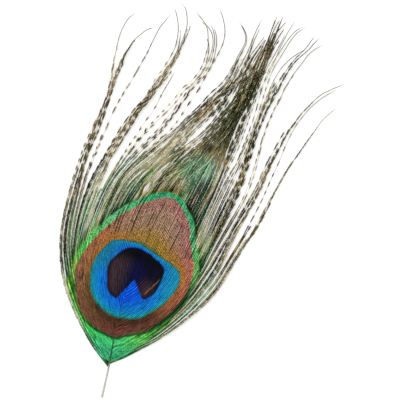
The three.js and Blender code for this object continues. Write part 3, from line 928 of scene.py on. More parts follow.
@dataclass
class BarbBuilder:
    """Turns barbs into bars with barbules.

    Attributes:
        rng: the source of the small differences.
        step: the distance between a bar's rings, in mm.
        eye_cover: a bar's width in the eye as a share of its pitch.
        margin_cover: the same in the margin.
        wire: the thickness of a bare loose barb near the margin, in mm.
        eye_widths: the least and the greatest width of a bar in the eye, in mm.
        margin_widths: the same in the margin.
        rim_cover: how much of its pitch a bar covers more just outside the green border, as a share.
        tip_wire: the thickness of a bare loose barb further out, in mm.
        end_wire: its thickness at the end, in mm.
        deepest: the greatest depth of a bar, in mm.
        shingle: how steeply a bar of the vane leans onto its neighbour.
        thick: the thickness of a barbule, in mm.
        raised: how high a barbule stands over the middle of its bar, in mm.
        lowest: the least height of a barbule over the ground, in mm.
    """

    rng: np.random.Generator
    step: float = 0.8
    eye_cover: float = 1.4
    margin_cover: float = 0.5
    wire: float = 0.18
    eye_widths: tuple[float, float] = (0.24, 2.2)
    margin_widths: tuple[float, float] = (0.22, 0.8)
    rim_cover: float = 0.4
    tip_wire: float = 0.27
    end_wire: float = 0.22
    deepest: float = 0.24
    shingle: float = 0.16
    thick: float = 0.07
    raised: float = 0.05
    lowest: float = 0.03

    def stretch(self, barb: Barb, zone: Zone) -> slice:
        """Finds the stretch of a barb that lies in a zone.

        Args:
            barb: the barb.
            zone: the zone.

        Returns:
            The indices of its points there.
        """
        eye_end, margin_end = barb.cuts
        if zone is Zone.EYE:
            return slice(0, eye_end + 1)
        if zone is Zone.MARGIN:
            return slice(eye_end, margin_end + 1)
        return slice(margin_end, len(barb.line))

    def width(self, barb: Barb) -> np.ndarray:
        """Works out a bar's width along the whole barb.

        Args:
            barb: the barb.

        Returns:
            The width at each of its points, in mm.
        """
        margin_end = barb.cuts[1]
        at = np.arange(len(barb.line))
        in_eye = np.clip(barb.pitch * self.eye_cover, *self.eye_widths)
        cover = self.margin_cover + self.rim_cover * ease(barb.run, barb.rim + 11, barb.rim + 3)
        in_margin = np.clip(barb.pitch * cover, *self.margin_widths)
        sizes = [self.wire, self.wire, self.tip_wire, self.tip_wire, self.end_wire]
        wire = np.interp(barb.loose, [0, 0.5, 0.72, 0.92, 1.0], sizes)
        wire = wire + 0.08 * float(ease(barb.strand.spread, 1.5, 2.5)) * ease(barb.loose, 0.4, 0.15)
        width = in_eye + (in_margin - in_eye) * ease(barb.run, barb.rim - 0.5, barb.rim + 2.5)
        return width + (wire - width) * ease(at, margin_end - 12, margin_end + 2)

    def bar(self, mesh: FibreMesh, barb: Barb, zone: Zone) -> None:
        """Adds the bar of a barb's stretch.

        Args:
            mesh: the piece to add to.
            barb: the barb.
            zone: which stretch of it.
        """
        part = self.stretch(barb, zone)
        line = barb.line[part]
        if len(line) < 3:
            return
        length = barb.run[part][-1] - barb.run[part][0]
        step = self.step if zone is not Zone.LOCK else 1.6 * self.step
        rings = max(2, int(length / step))
        seed = SeedShape.cone(4, rings, 0.5)
        at = seed.points[:, 2] * (len(line) - 1)
        index = np.arange(len(line))
        _, across, up = frames(line)
        width = self.width(barb)[part]
        depth = np.minimum(self.deepest, width)
        closing = 1 - 0.8 * ease(barb.run[part], barb.run[-1] - 3.0, barb.run[-1])

        def along_line(values: np.ndarray) -> np.ndarray:
            """Reads values of the line at each corner of the seed."""
            return np.interp(at, index, values)

        place, side, rise = (
            np.column_stack([along_line(rows[:, k]) for k in range(3)]) for rows in (line, across, up)
        )
        x, y = seed.points[:, 0:1] * 2, seed.points[:, 1:2] * 2
        half_width = (along_line(width * closing) / 2)[:, None]
        half_depth = (along_line(depth * closing) / 2)[:, None]
        shingle = (0.0 if zone is Zone.LOCK else self.shingle) * half_width * x
        placed = place + side * x * half_width + rise * (y * half_depth + shingle)
        run, loose = along_line(barb.run[part]), along_line(barb.loose[part])
        mesh.add(seed, placed[None], barb.channels(edge=x[:, 0], run=run, loose=loose, fleck=0.5))

    def covered(self, barb: Barb, run: np.ndarray, loose: np.ndarray) -> np.ndarray:
        """Tells where a loose barb has dark barbules and where it shows bare.

        Args:
            barb: the barb.
            run: distances from the shaft, in mm.
            loose: the barb's looseness there.

        Returns:
            1 where barbules stand, 0 where the barb is bare.
        """
        rng = np.random.default_rng(int(barb.shade * 1e6))
        period = rng.uniform(3.4, 5.2)
        phase = run / period + 0.35 * sway(run / rng.uniform(3, 6), rng) + rng.uniform(0, 1)
        duty = barb.strand.duty - 1.0 / period + 0.15 * sway(run / rng.uniform(8, 14), rng)
        dash = (phase % 1.0) < duty
        return np.where(loose > 0.0, dash | (loose > 0.85), 1.0) * (loose < 0.95)

    def barbules(self, mesh: FibreMesh, barb: Barb, zone: Zone) -> None:
        """Adds the two rows of barbules of a barb's stretch.

        Args:
            mesh: the piece to add to.
            barb: the barb.
            zone: which stretch of it.
        """
        part = self.stretch(barb, zone)
        line, run = barb.line[part], barb.run[part]
        if len(line) < 3:
            return
        fringe = FRINGES[zone]
        within = FRINGES[Zone.EYE] if zone is Zone.MARGIN else fringe
        count = int((run[-1] - run[0]) / fringe.spacing)
        if count < 1:
            return
        rng = self.rng
        at = run[0] + (np.arange(count) + rng.uniform(0.1, 0.9, count)) * (run[-1] - run[0]) / count
        loose = np.interp(at, run, barb.loose[part])
        if zone is not Zone.EYE:
            on = self.covered(barb, at, np.maximum(loose, 0.01 * (zone is Zone.MARGIN))) > 0.5
            if zone is Zone.MARGIN:
                on |= rng.uniform(0, 1, count) < 1 - 0.9 * ease(at, barb.rim + 7, barb.rim + 28)
            at, loose = at[on], loose[on]
        if len(at) == 0:
            return
        along, across, up = frames(line)

        def read(values: np.ndarray) -> np.ndarray:
            """Reads rows of the line at each barbule."""
            return np.column_stack([np.interp(at, run, values[:, k]) for k in range(3)])

        root, way, side, rise = read(line), read(along), read(across), read(up)
        pitch = np.interp(at, run, barb.pitch[part])
        seed = SeedShape.cone(3, 1, 0.0)
        for hand in (-1.0, 1.0):
            n = len(at)
            out_of_rim = ease(at, barb.rim - 0.5, barb.rim + 2.0)

            def blend(inner: float, outer: float) -> np.ndarray:
                """Goes from the eye's value to the zone's where the barb leaves the green border."""
                return inner + (outer - inner) * out_of_rim

            bushy = float(ease(barb.strand.tone, 0.6, 0.9)) * ease(at, barb.rim, barb.rim + 12)
            lean = blend(within.angle, fringe.angle) * (1 + 0.35 * bushy)
            angle = np.radians((lean + rng.normal(0, fringe.jitter, n)) * (1 - 0.4 * loose))
            tilt = np.radians(rng.normal(6, 10, n))
            reach = pitch * blend(within.cover, fringe.cover) / np.sin(np.radians(lean))
            shortest = blend(within.shortest, fringe.shortest)
            longest = blend(within.longest, fringe.longest)
            slim = 0.75 if barb.strand.duty < 0.7 else 1.0
            crowd = float(ease(barb.strand.spread, 1.5, 2.5)) * ease(loose, 0.0, 0.04)
            crowd = crowd * ease(loose, 0.4, 0.15)
            reach = np.clip(reach, shortest, longest) * slim * (1 + 0.3 * bushy)
            reach = reach * (1 - 0.6 * ease(loose, 0.66, 0.9)) * rng.uniform(0.75, 1.2, n)
            reach = reach * (1 - 0.5 * crowd)
            out = side * (hand * np.cos(tilt))[:, None] + rise * np.sin(tilt)[:, None]
            aim = way * np.cos(angle)[:, None] + out * np.sin(angle)[:, None]
            flat = np.cross(rise, aim)
            flat /= np.maximum(np.linalg.norm(flat, axis=1, keepdims=True), 1e-9)
            over = np.cross(aim, flat)
            wide = blend(within.wide, fringe.wide) * (1 - 0.3 * loose)
            t = seed.points[:, 2]
            placed = (
                (root + rise * self.raised)[:, None, :]
                + aim[:, None, :] * (reach[:, None] * t)[:, :, None]
                + flat[:, None, :] * (wide[:, None] * seed.points[:, 0])[:, :, None]
                + over[:, None, :] * (self.thick * seed.points[:, 1])[None, :, None]
            )
            placed[:, :, 2] = np.maximum(placed[:, :, 2], self.lowest)
            edge, fleck = hand * (0.2 + 0.8 * t)[None, :], rng.uniform(0, 1, n)[:, None]
            along_barb = {"run": at[:, None], "loose": loose[:, None]}
            mesh.add(seed, placed, barb.channels(edge=edge, fleck=fleck, barbule=1.0, **along_barb))

    def lay(self, mesh: FibreMesh, barb: Barb, zone: Zone) -> None:
        """Adds a barb's stretch with its barbules."""
        self.bar(mesh, barb, zone)
        self.barbules(mesh, barb, zone)


# ------------------------------------------------------------------------------------------ finishes

Colour = tuple[int, int, int]
Stops = tuple[tuple[float, Colour], ...]
Spot = tuple[float, float]
Socket = bpy.types.NodeSocket
# The share of a screen colour's light that a barb gives back in this studio.
GAIN = 0.62
# The depth in metres and the strength of a fine relief.
RELIEF_DEPTH = 0.0001
RELIEF_STRENGTH = 0.5
# A radius in mm that no ring of the eye reaches.
WIDEST = 40.0
# How far apart the barbs' own places lie in the noises that run along them.
APART = 230.0


def light(colour: Colour) -> tuple[float, float, float, float]:
    """Turns a screen colour into what a barb gives back.

    Args:
        colour: red, green and blue from 0 to 255.

    Returns:
        The same in scene light, with an alpha of 1.
    """
    parts = [c / 255 for c in colour]
    scene = [p / 12.92 if p <= 0.04045 else ((p + 0.055) / 1.055) ** 2.4 for p in parts]
    return (*(min(1.0, v * GAIN) for v in scene), 1.0)


class Wire:
    """A number, a place or a colour in a node tree, with the usual signs of arithmetic."""

    def __init__(self, bench: "Bench", socket: Socket) -> None:
        """Keeps the bench that it is on and the socket that it comes out of."""
        self.bench = bench
        self.socket = socket

    def __add__(self, other: "Wire | float") -> "Wire":
        """The sum."""
        return self.bench.math("ADD", self, other)

    def __sub__(self, other: "Wire | float") -> "Wire":
        """The difference."""
        return self.bench.math("SUBTRACT", self, other)

    def __rsub__(self, other: float) -> "Wire":
        """What it leaves of a number."""
        return self.bench.math("SUBTRACT", other, self)

    def __mul__(self, other: "Wire | float") -> "Wire":
        """The product."""
        return self.bench.math("MULTIPLY", self, other)

    def __truediv__(self, other: "Wire | float") -> "Wire":
        """The ratio."""
        return self.bench.math("DIVIDE", self, other)

    def __abs__(self) -> "Wire":
        """Its size without the sign."""
        return self.bench.math("ABSOLUTE", self)

    def most(self, other: "Wire | float") -> "Wire":
        """The larger of two numbers."""
        return self.bench.math("MAXIMUM", self, other)

    def least(self, other: "Wire | float") -> "Wire":
        """The smaller of two numbers."""
        return self.bench.math("MINIMUM", self, other)

    def part(self, times: float) -> "Wire":
        """Another number from 0 to 1 out of this one: what is past the point once it is multiplied."""
        return self.bench.math("FRACT", self * times)

    def held(self) -> "Wire":
        """The same number, held between 0 and 1."""
        self.socket.node.use_clamp = True
        return self

    def step(self, low: float, high: float) -> "Wire":
        """Goes smoothly from 0 to 1 between two values.

        Args:
            low: the value that gives 0.
            high: the value that gives 1, which may be the smaller one.

        Returns:
            The smooth step.
        """
        node = self.bench.node("ShaderNodeMapRange")
        node.interpolation_type = "SMOOTHSTEP"
        for name, value in (("Value", self), ("From Min", low), ("From Max", high)):
            self.bench.feed(node.inputs[name], value)
        return Wire(self.bench, node.outputs["Result"])


class Bench:
    """Adds nodes to one material with short calls."""

    def __init__(self, name: str) -> None:
        """Starts a material with an empty node tree.

        Args:
            name: the material's name.
        """
        self.material = bpy.data.materials.new(name)
        self.material.use_nodes = True
        self.tree = self.material.node_tree
        self.tree.nodes.clear()

    def node(self, kind: str) -> bpy.types.Node:
        """Adds a node of a kind."""
        return self.tree.nodes.new(kind)

    def feed(self, socket: Socket, value: "Wire | float | tuple") -> None:
        """Links an input to a wire, or sets its value.

        Args:
            socket: the input.
            value: a wire, or a value, where three numbers are a screen colour.
        """
        if isinstance(value, Wire):
            self.tree.links.new(value.socket, socket)
        elif isinstance(value, tuple) and len(value) == 3:
            socket.default_value = light(value)
        else:
            socket.default_value = value

    def math(self, operation: str, a: "Wire | float", b: "Wire | float" = 0.0) -> Wire:
        """Adds a Math node.

        Args:
            operation: what it does.
            a: its first input.
            b: its second input.

        Returns:
            Its result.
        """
        node = self.node("ShaderNodeMath")
        node.operation = operation
        self.feed(node.inputs[0], a)
        self.feed(node.inputs[1], b)
        return Wire(self, node.outputs[0])

    def mix(
        self, factor: "Wire | float", a: "Wire | Colour", b: "Wire | Colour", blend: str = "MIX"
    ) -> Wire:
        """Mixes two colours.

        Args:
            factor: how much of the second colour.
            a: the first colour.
            b: the second colour.
            blend: how they combine.

        Returns:
            The mixed colour.
        """
        node = self.node("ShaderNodeMix")
        node.data_type = "RGBA"
        node.blend_type = blend
        for index, value in ((0, factor), (6, a), (7, b)):
            self.feed(node.inputs[index], value)
        return Wire(self, node.outputs[2])

    def ramp(self, value: Wire, stops: Stops) -> Wire:
        """Reads a colour off a ramp.

        Args:
            value: the place on the ramp, from 0 to 1.
            stops: places and screen colours.

        Returns:
            The colour.
        """
        node = self.node("ShaderNodeValToRGB")
        elements = node.color_ramp.elements
        while len(elements) < len(stops):
            elements.new(0.5)
        for element, (place, _) in zip(elements, stops):
            element.position = place
        for element, (_, colour) in zip(elements, stops):
            element.color = light(colour)
        self.feed(node.inputs[0], value)
        return Wire(self, node.outputs[0])

    def polar(self, turn: Wire, radii: Points) -> Wire:
        """Reads the radius of a closed outline in a direction.

        Args:
            turn: the direction, from 0 to 1 for -180 to 180 degrees.
            radii: directions in degrees from 0 to 360 with the radius there, in mm.

        Returns:
            The radius in mm.
        """
        node = self.node("ShaderNodeFloatCurve")
        curve = node.mapping.curves[0]
        spots = sorted(((a + 180) % 360 / 360, r / WIDEST) for a, r in radii)
        first, last = spots[0], spots[-1]
        gap = first[0] + 1 - last[0]
        seam = last[1] + (first[1] - last[1]) * (1 - last[0]) / gap
        full = [(0.0, seam), *spots, (1.0, seam)]
        while len(curve.points) < len(full):
            curve.points.new(0.5, 0.5)
        for point, place in zip(curve.points, full):
            point.location = place
        node.mapping.update()
        self.feed(node.inputs["Value"], turn)
        return Wire(self, node.outputs[0]) * WIDEST

    def channel(self, name: str) -> Wire:
        """Reads one of the fibres' own numbers.

        Args:
            name: one of the channels.

        Returns:
            The number.
        """
        node = self.node("ShaderNodeAttribute")
        node.attribute_name = name
        return Wire(self, node.outputs["Fac"])

    def plane(self, u: Wire, v: Wire) -> Wire:
        """Makes a place on a plane of its own, for a noise to read.

        Args:
            u: its first coordinate.
            v: its second coordinate.

        Returns:
            The place.
        """
        node = self.node("ShaderNodeCombineXYZ")
        self.feed(node.inputs[0], u)
        self.feed(node.inputs[1], v)
        return Wire(self, node.outputs[0])

    def noise(self, where: Wire, scale: float, detail: float = 2.0) -> Wire:
        """Reads a noise from 0 to 1.

        Args:
            where: the place.
            scale: how many of its patches fit into a unit.
            detail: how many finer layers it has.

        Returns:
            The noise at that place.
        """
        node = self.node("ShaderNodeTexNoise")
        for name, value in (("Vector", where), ("Scale", scale), ("Detail", detail)):
            self.feed(node.inputs[name], value)
        return Wire(self, node.outputs[0])

    def axes(self) -> tuple[Wire, Wire, Wire]:
        """Reads the object's own coordinates.

        Returns:
            The coordinates in metres, and the places across and along in the tables' mm.
        """
        where = Wire(self, self.node("ShaderNodeTexCoord").outputs["Object"])
        parts = self.node("ShaderNodeSeparateXYZ")
        self.feed(parts.inputs[0], where)
        x, y = (Wire(self, parts.outputs[k]) / MM - CENTRE_OFFSET[k] for k in range(2))
        return where, x, y

    def surface(
        self, colour: "Wire | tuple", roughness: float, specular: float, relief: Wire | None = None
    ) -> bpy.types.Node:
        """Ends the material in a shader.

        Args:
            colour: the base colour.
            roughness: the roughness.
            specular: the strength of its gloss.
            relief: the height of its fine relief, from 0 to 1, or None.

        Returns:
            The shader node.
        """
        shader = self.node("ShaderNodeBsdfPrincipled")
        self.feed(shader.inputs["Base Color"], colour)
        shader.inputs["Roughness"].default_value = roughness
        shader.inputs["Specular IOR Level"].default_value = specular
        if relief is not None:
            bump = self.node("ShaderNodeBump")
            bump.inputs["Distance"].default_value = RELIEF_DEPTH
            bump.inputs["Strength"].default_value = RELIEF_STRENGTH
            self.feed(bump.inputs["Height"], relief)
            self.tree.links.new(bump.outputs[0], shader.inputs["Normal"])
        output = self.node("ShaderNodeOutputMaterial")
        self.tree.links.new(shader.outputs[0], output.inputs[0])
        return shader


@dataclass(frozen=True)
class HerlColours:
    """Screen colours of the barbs outside the eye.

    Attributes:
        pale: the bare barb.
        pale_tip: the thin tip of a pale barb.
        tip: the thin tip of a dark one.
        tan: the palest barbules.
        brown: the middle ones.
        olive: greener ones.
        dark: the darkest ones.
        green: the shining ones next to the eye.
        deep_green: those in their shade.
        pale_green: the brightest of them.
        pale_leaf: the bare barbs among them.
        core: the dark barbules in the middle of the inner locks.
        teal: the patch beyond the eye's tip, the herl's own teal made paler by a painted sheen.
        deep_teal: the shade in that patch.
        crossing_shade_dark: the darkest barbules in the painted shade where the inner locks cross.
        crossing_shade_light: the palest barbules in that painted shade.
        crossing_shade_bare: the bare barbs in that painted shade.
        rose_dark: the red cast of dark barbules away from the vane.
        rose: the same of pale ones.
    """

    pale: Colour = (224, 212, 168)
    pale_tip: Colour = (176, 176, 140)
    tip: Colour = (78, 70, 42)
    tan: Colour = (188, 170, 116)
    brown: Colour = (120, 104, 52)
    olive: Colour = (76, 76, 28)
    dark: Colour = (34, 30, 8)
    green: Colour = (84, 146, 74)
    deep_green: Colour = (24, 70, 30)
    pale_green: Colour = (164, 204, 134)
    pale_leaf: Colour = (200, 218, 154)
    core: Colour = (36, 60, 28)
    teal: Colour = (160, 236, 192)
    deep_teal: Colour = (48, 110, 80)
    crossing_shade_dark: Colour = (12, 22, 6)
    crossing_shade_light: Colour = (98, 106, 66)
    crossing_shade_bare: Colour = (66, 72, 40)
    rose_dark: Colour = (62, 36, 24)
    rose: Colour = (176, 136, 108)


@dataclass(frozen=True)
class EyeColours:
    """Screen colours of the eye's rings.

    Attributes:
        outline: the green ring, round the eye.
        mist: the pale cast of some barbs in it.
        wedge: its foot, where the two flanks meet.
        seam: the dark line between it and the bronze.
        bronze_out: the outer edge of the bronze, round the eye.
        bronze_in: its inner edge.
        taupe: its pale middle over the eye.
        brink: its thin border with the blue.
        painted_split_shade: the painted shade in the splits between its barbs.
        blue: the blue ring, from its outer edge inwards.
        teal: its cast on the right.
        dusk: its cast on the left.
        notch: the bright notch in the heart.
        heart: the heart, from left to right.
        heart_top: its upper half.
        heart_rim: its edge.
        lobe: its lower right lobe.
        painted_highlight: the painted highlight, an ochre line along a barb across that lobe.
    """

    outline: Stops = (
        (0.0, (80, 196, 80)), (0.05, (150, 200, 80)), (0.13, (104, 212, 72)), (0.2, (64, 214, 82)),
        (0.25, (64, 202, 94)), (0.31, (98, 198, 86)), (0.37, (50, 130, 46)), (0.43, (28, 70, 30)),
        (0.5, (46, 116, 46)), (0.56, (96, 186, 84)), (0.63, (70, 172, 110)), (0.75, (38, 166, 110)),
        (0.87, (92, 200, 132)), (0.94, (90, 200, 100)), (1.0, (80, 196, 80)),
    )  # fmt: skip
    mist: Colour = (186, 206, 176)
    wedge: Colour = (68, 188, 130)
    seam: Colour = (22, 40, 18)
    bronze_out: Stops = (
        (0.0, (152, 98, 72)), (0.08, (138, 94, 68)), (0.16, (118, 80, 56)), (0.25, (110, 60, 50)),
        (0.36, (100, 62, 48)), (0.46, (166, 98, 72)), (0.54, (180, 104, 84)), (0.6, (172, 106, 100)),
        (0.68, (172, 112, 108)), (0.75, (168, 116, 104)), (0.84, (166, 118, 90)), (0.92, (172, 104, 66)),
        (1.0, (152, 98, 72)),
    )  # fmt: skip
    bronze_in: Stops = (
        (0.0, (162, 108, 54)), (0.1, (112, 82, 46)), (0.2, (80, 54, 34)), (0.35, (78, 44, 28)),
        (0.45, (166, 98, 50)), (0.55, (170, 118, 48)), (0.66, (160, 126, 48)), (0.8, (162, 124, 56)),
        (0.92, (172, 112, 52)), (1.0, (162, 108, 54)),
    )  # fmt: skip
    taupe: Colour = (160, 132, 108)
    brink: Colour = (60, 104, 70)
    painted_split_shade: Colour = (40, 20, 18)
    blue: Stops = (
        (0.0, (14, 110, 104)), (0.07, (26, 152, 158)), (0.22, (22, 146, 192)), (0.5, (12, 126, 214)),
        (1.0, (8, 108, 220)),
    )  # fmt: skip
    teal: Colour = (28, 148, 176)
    dusk: Colour = (24, 124, 158)
    notch: Colour = (6, 88, 226)
    heart: Stops = (
        (0.0, (68, 50, 54)), (0.22, (54, 40, 50)), (0.42, (16, 18, 58)), (0.6, (8, 10, 64)),
        (0.85, (6, 6, 34)), (1.0, (14, 10, 34)),
    )  # fmt: skip
    heart_top: Colour = (2, 2, 10)
    heart_rim: Colour = (4, 8, 24)
    lobe: Colour = (70, 48, 58)
    painted_highlight: Colour = (150, 112, 66)


class Place:
    """Where a point of a barb is on the feather, as wires in mm.

    Attributes:
        where: the object's own coordinates, in metres.
        x: the place across.
        y: the place along.
        dx: the place across from the middle of the eye.
        dy: the place along from the middle of the eye.
        turn: the direction from there, as a share of a turn.
        radius: the distance from there, a little ragged from barb to barb.
        heart: the radius of the heart in that direction.
        blue: the outer radius of the blue ring.
        bronze: the outer radius of the bronze ring.
        green: the outer radius of the green ring.
        own: a place that runs along each barb by itself.
    """

    def __init__(self, b: Bench) -> None:
        """Makes the wires.

        Args:
            b: the bench to add nodes to.
        """
        shade = b.channel("shade")
        self.where, self.x, self.y = b.axes()
        self.dx = self.x - EYE_CENTRE[0]
        self.dy = self.y - EYE_CENTRE[1]
        self.turn = b.math("ARCTAN2", self.dy, self.dx) * (1 / (2 * math.pi)) + 0.5
        self.radius = self.reach(EYE_CENTRE) + (shade - 0.5) * 0.25
        self.heart, self.blue, self.bronze, self.green = (
            b.polar(self.turn, rim) for rim in (HEART_RIM, BLUE_RIM, BRONZE_RIM, GREEN_RIM)
        )
        self.own = b.plane(shade * APART, b.channel("run"))

    def reach(self, spot: Spot) -> Wire:
        """The distance from a spot."""
        x, y = self.x - spot[0], self.y - spot[1]
        return x.bench.math("SQRT", x * x + y * y)

    def beyond(self, spot: Spot, way: Spot) -> Wire:
        """The distance past a line through a spot, in a unit direction at right angles to it."""
        return (self.x - spot[0]) * way[0] + (self.y - spot[1]) * way[1]

    def share(self, outer: Wire, inner: Wire) -> Wire:
        """0 at the outer of two radii, 1 at the inner one."""
        return ((outer - self.radius) / (outer - inner)).held()


@dataclass(frozen=True)
class VaneFinish:
    """The finish of every barb: the rings of the eye, and the herl outside them.

    Attributes:
        name: the material's name.
        roughness: the barbules' roughness.
        specular: the strength of their gloss.
        herl: the colours outside the eye.
        eye: the colours of the eye.
        blur: how soft the rings' borders are, in mm.
    """

    name: str
    roughness: float = 0.5
    specular: float = 0.05
    herl: HerlColours = HerlColours()
    eye: EyeColours = EyeColours()
    blur: float = 0.4

    def within(self, p: Place, rim: Wire) -> Wire:
        """1 inside a ring's rim, 0 outside it."""
        return (rim - p.radius).step(-self.blur, self.blur)

    @staticmethod
    def lightness(b: Bench, p: Place, base: Wire) -> Wire:
        """How light the barbules outside the eye are.

        Args:
            b: the bench to add nodes to.
            p: the place.
            base: 1 at the foot of the vane.

        Returns:
            0 for the darkest, 1 for the palest.
        """
        loose = b.channel("loose")
        patches = b.noise(p.own, 0.14, 1.0) - 0.5
        bundles = b.noise(b.plane(b.channel("order") * 0.3, b.channel("run") * 0.05), 1.0, 0.0) - 0.5
        dapple = (b.noise(p.own, 0.5) - 0.5) * loose.step(0.0, 0.15)
        value = (b.channel("fleck") - 0.5) * 0.3 + (b.channel("tone") * -0.5 + 0.66)
        value = value + patches * 1.5 + bundles * 1.5 + dapple * 2.0
        top = p.y.step(66.0, 78.0) * loose.step(0.1, 0.0) * (p.y.step(84.0, 94.0) * 0.12 + 0.2)
        top = top * p.x.step(6.0, 0.0).most(p.y.step(84.0, 92.0))
        return (value + top - base * 0.15 + (b.channel("shade") - 0.5) * 0.4).held()

    def herl_colour(self, b: Bench, p: Place) -> Wire:
        """The colour of the barbs outside the eye.

        Args:
            b: the bench to add nodes to.
            p: the place.

        Returns:
            The colour.
        """
        h = self.herl
        shade, tone, loose = b.channel("shade"), b.channel("tone"), b.channel("loose")
        far = p.radius - p.green
        base = p.y.step(36.0, 24.0)
        value = self.lightness(b, p, base)
        lively = (value + (tone * 0.3 + 0.04)).held()
        earth = ((0.0, h.dark), (0.3, h.olive), (0.55, h.brown), (0.8, h.tan), (1.0, h.pale))
        brown = b.ramp(value, earth)
        brown = b.mix(loose.step(0.02, 0.3) * 0.35, brown, b.mix(value, h.rose_dark, h.rose))
        shine = ((0.0, h.deep_green), (0.3, h.deep_green), (0.55, h.green), (0.85, h.pale_green))
        crown = p.y.step(76.0, 80.0) * abs(p.x + 3.0).step(8.0, 4.0) * far.step(8.0, 4.0)
        near = (1.0 - (far / b.polar(p.turn, LEAF_REACH)).step(0.5, 1.2)) * (1.0 - crown * 0.85)
        leafy = near * shade.part(7.31).step(0.2, 0.4).most(base)
        colour = b.mix(leafy, brown, b.ramp(lively, (*shine, (1.0, h.pale))))
        core = abs(p.y - 119.0).step(22.0, 12.0) * p.x.step(0.0, 5.0) * tone.step(0.35, 0.65)
        colour = b.mix(core * 0.6, colour, h.core)
        # The teal patch beyond the eye's tip: the herl's own teal with a painted sheen on it.
        teal = b.mix(value.step(0.3, 0.75), h.deep_teal, h.teal)
        colour = b.mix(p.reach(TEAL_SHEEN_SPOT).step(9.5, 3.0) * 0.75, colour, teal)
        # Painted shade where the inner locks cross: the barbules and bare barbs there are mixed towards
        # darker colours.
        across, along = (abs(p.beyond(CROSSING, way)) for way in CROSSING_WAYS)
        crossing_shade = across.step(5.5, 1.5) * along.step(12.0, 7.0)
        colour = b.mix(crossing_shade * 0.75, colour, b.mix(value.step(0.3, 0.95), h.crossing_shade_dark, h.crossing_shade_light))
        bare = b.mix(leafy, h.pale, h.pale_leaf)
        bare = b.mix(loose.step(0.6, 0.82), bare, b.mix(tone, h.pale_tip, h.tip))
        bare = b.mix(crossing_shade * 0.7, bare, h.crossing_shade_bare)
        stripe = b.math("LESS_THAN", shade.part(3.7), 0.3) * (far.step(1.5, 3.5) * 0.7)
        bar = b.mix(loose.step(0.0, 0.03).most(stripe), colour, bare)
        return b.mix(b.channel("barbule"), bar, colour)

    def green_ring(self, b: Bench, p: Place) -> Wire:
        """The colour of the green ring.

        Args:
            b: the bench to add nodes to.
            p: the place.

        Returns:
            The colour.
        """
        e = self.eye
        misty = b.channel("shade").part(5.3).step(0.6, 0.8) * p.y.step(40.0, 60.0)
        colour = b.mix(misty * 0.3, b.ramp(p.turn, e.outline), e.mist)
        colour = b.mix(p.y.step(27.0, 15.0), colour, e.wedge)
        seam = abs(p.radius - p.bronze - 0.4).step(1.0, 0.3)
        seam = seam * p.turn.step(0.1, 0.2) * p.turn.step(0.52, 0.46)
        return b.mix(seam * 0.85, colour, e.seam)

    def bronze_ring(self, b: Bench, p: Place) -> Wire:
        """The colour of the bronze ring.

        Args:
            b: the bench to add nodes to.
            p: the place.

        Returns:
            The colour.
        """
        e = self.eye
        depth = p.share(p.bronze, p.blue)
        colour = b.mix(depth.step(0.15, 0.85), b.ramp(p.turn, e.bronze_out), b.ramp(p.turn, e.bronze_in))
        taupe = p.dy.step(8.0, 18.0) * depth.step(0.02, 0.3) * depth.step(0.85, 0.45)
        colour = b.mix(taupe * 0.7, colour, e.taupe)
        return b.mix(depth.step(0.9, 1.0), colour, e.brink)

    def blue_ring(self, b: Bench, p: Place, notch: Wire) -> Wire:
        """The colour of the blue ring and of the notch in the heart.

        Args:
            b: the bench to add nodes to.
            p: the place.
            notch: 1 within the notch.

        Returns:
            The colour.
        """
        e = self.eye
        teal = p.dx.step(2.0, 15.0) * (p.dy.step(-11.0, -3.0) * 0.65 + 0.05)
        colour = b.mix(teal, b.ramp(p.share(p.blue, p.heart), e.blue), e.teal)
        dusk = p.dx.step(-6.0, -13.0) * p.dy.step(-8.0, 0.0)
        colour = b.mix(dusk * 0.8, colour, e.dusk)
        return b.mix(notch * (p.heart - p.radius).step(-2.5, 1.5), colour, e.notch)

    def heart(self, b: Bench, p: Place) -> Wire:
        """The colour of the heart.

        Args:
            b: the bench to add nodes to.
            p: the place.

        Returns:
            The colour.
        """
        e = self.eye
        colour = b.ramp(p.dx.step(-11.0, 10.0), e.heart)
        colour = b.mix(p.dy.step(0.0, 6.0) * 0.95, colour, e.heart_top)
        colour = b.mix(p.dx.step(1.0, 5.0) * p.dy.step(0.0, -6.0) * 0.7, colour, e.lobe)
        # A painted highlight: a thin ochre line along one barb across the lower right lobe.
        across, along = (p.beyond(PAINTED_HIGHLIGHT_ROOT, way) for way in PAINTED_HIGHLIGHT_WAYS)
        painted_highlight = abs(across).step(0.32, 0.1) * along.step(-0.5, 1.0) * along.step(9.5, 7.5)
        colour = b.mix(painted_highlight * 0.8, colour, e.painted_highlight)
        return b.mix((p.heart - p.radius).step(2.2, 0.0) * 0.8, colour, e.heart_rim)

    def texture(self, b: Bench, p: Place) -> Wire:
        """The fine light and dark of the barbs, with painted shade in the furrows between them, as a
        factor on their colour.

        Args:
            b: the bench to add nodes to.
            p: the place.

        Returns:
            The factor, near 1.
        """
        shade, edge, run = b.channel("shade"), b.channel("edge"), b.channel("run")
        in_vane = self.within(p, p.green)
        field = in_vane - self.within(p, p.blue)
        low = p.dy.step(9.0, -5.0)
        grain = (b.noise(p.where, 2300.0, 1.0) - 0.5) * (field * (2.2 - low * 1.6) + 1.2)
        streak = b.noise(b.plane(shade * APART + edge * 0.7, run * 0.3), 1.0, 1.0) - 0.5
        outer = p.dx.step(-12.0, -18.0).most(p.radius.step(17.0, 22.0)) * 1.3
        streaky = in_vane * (low * 1.4 + outer * field + 0.7)
        glint = (b.channel("fleck") - 0.5) * (field * 0.8 + 0.3)
        speck = (grain + 1.0 + streak * streaky + glint).most(0.15) + (shade - 0.5) * 0.24
        # Painted shade: bars in the vane darken towards their edges, where they meet their neighbours,
        # and barbules towards their tips.
        painted_furrow_shade = abs(edge).step(0.3, 0.95) * b.channel("loose").step(0.02, 0.0)
        return speck * (1.0 - painted_furrow_shade * 0.8)

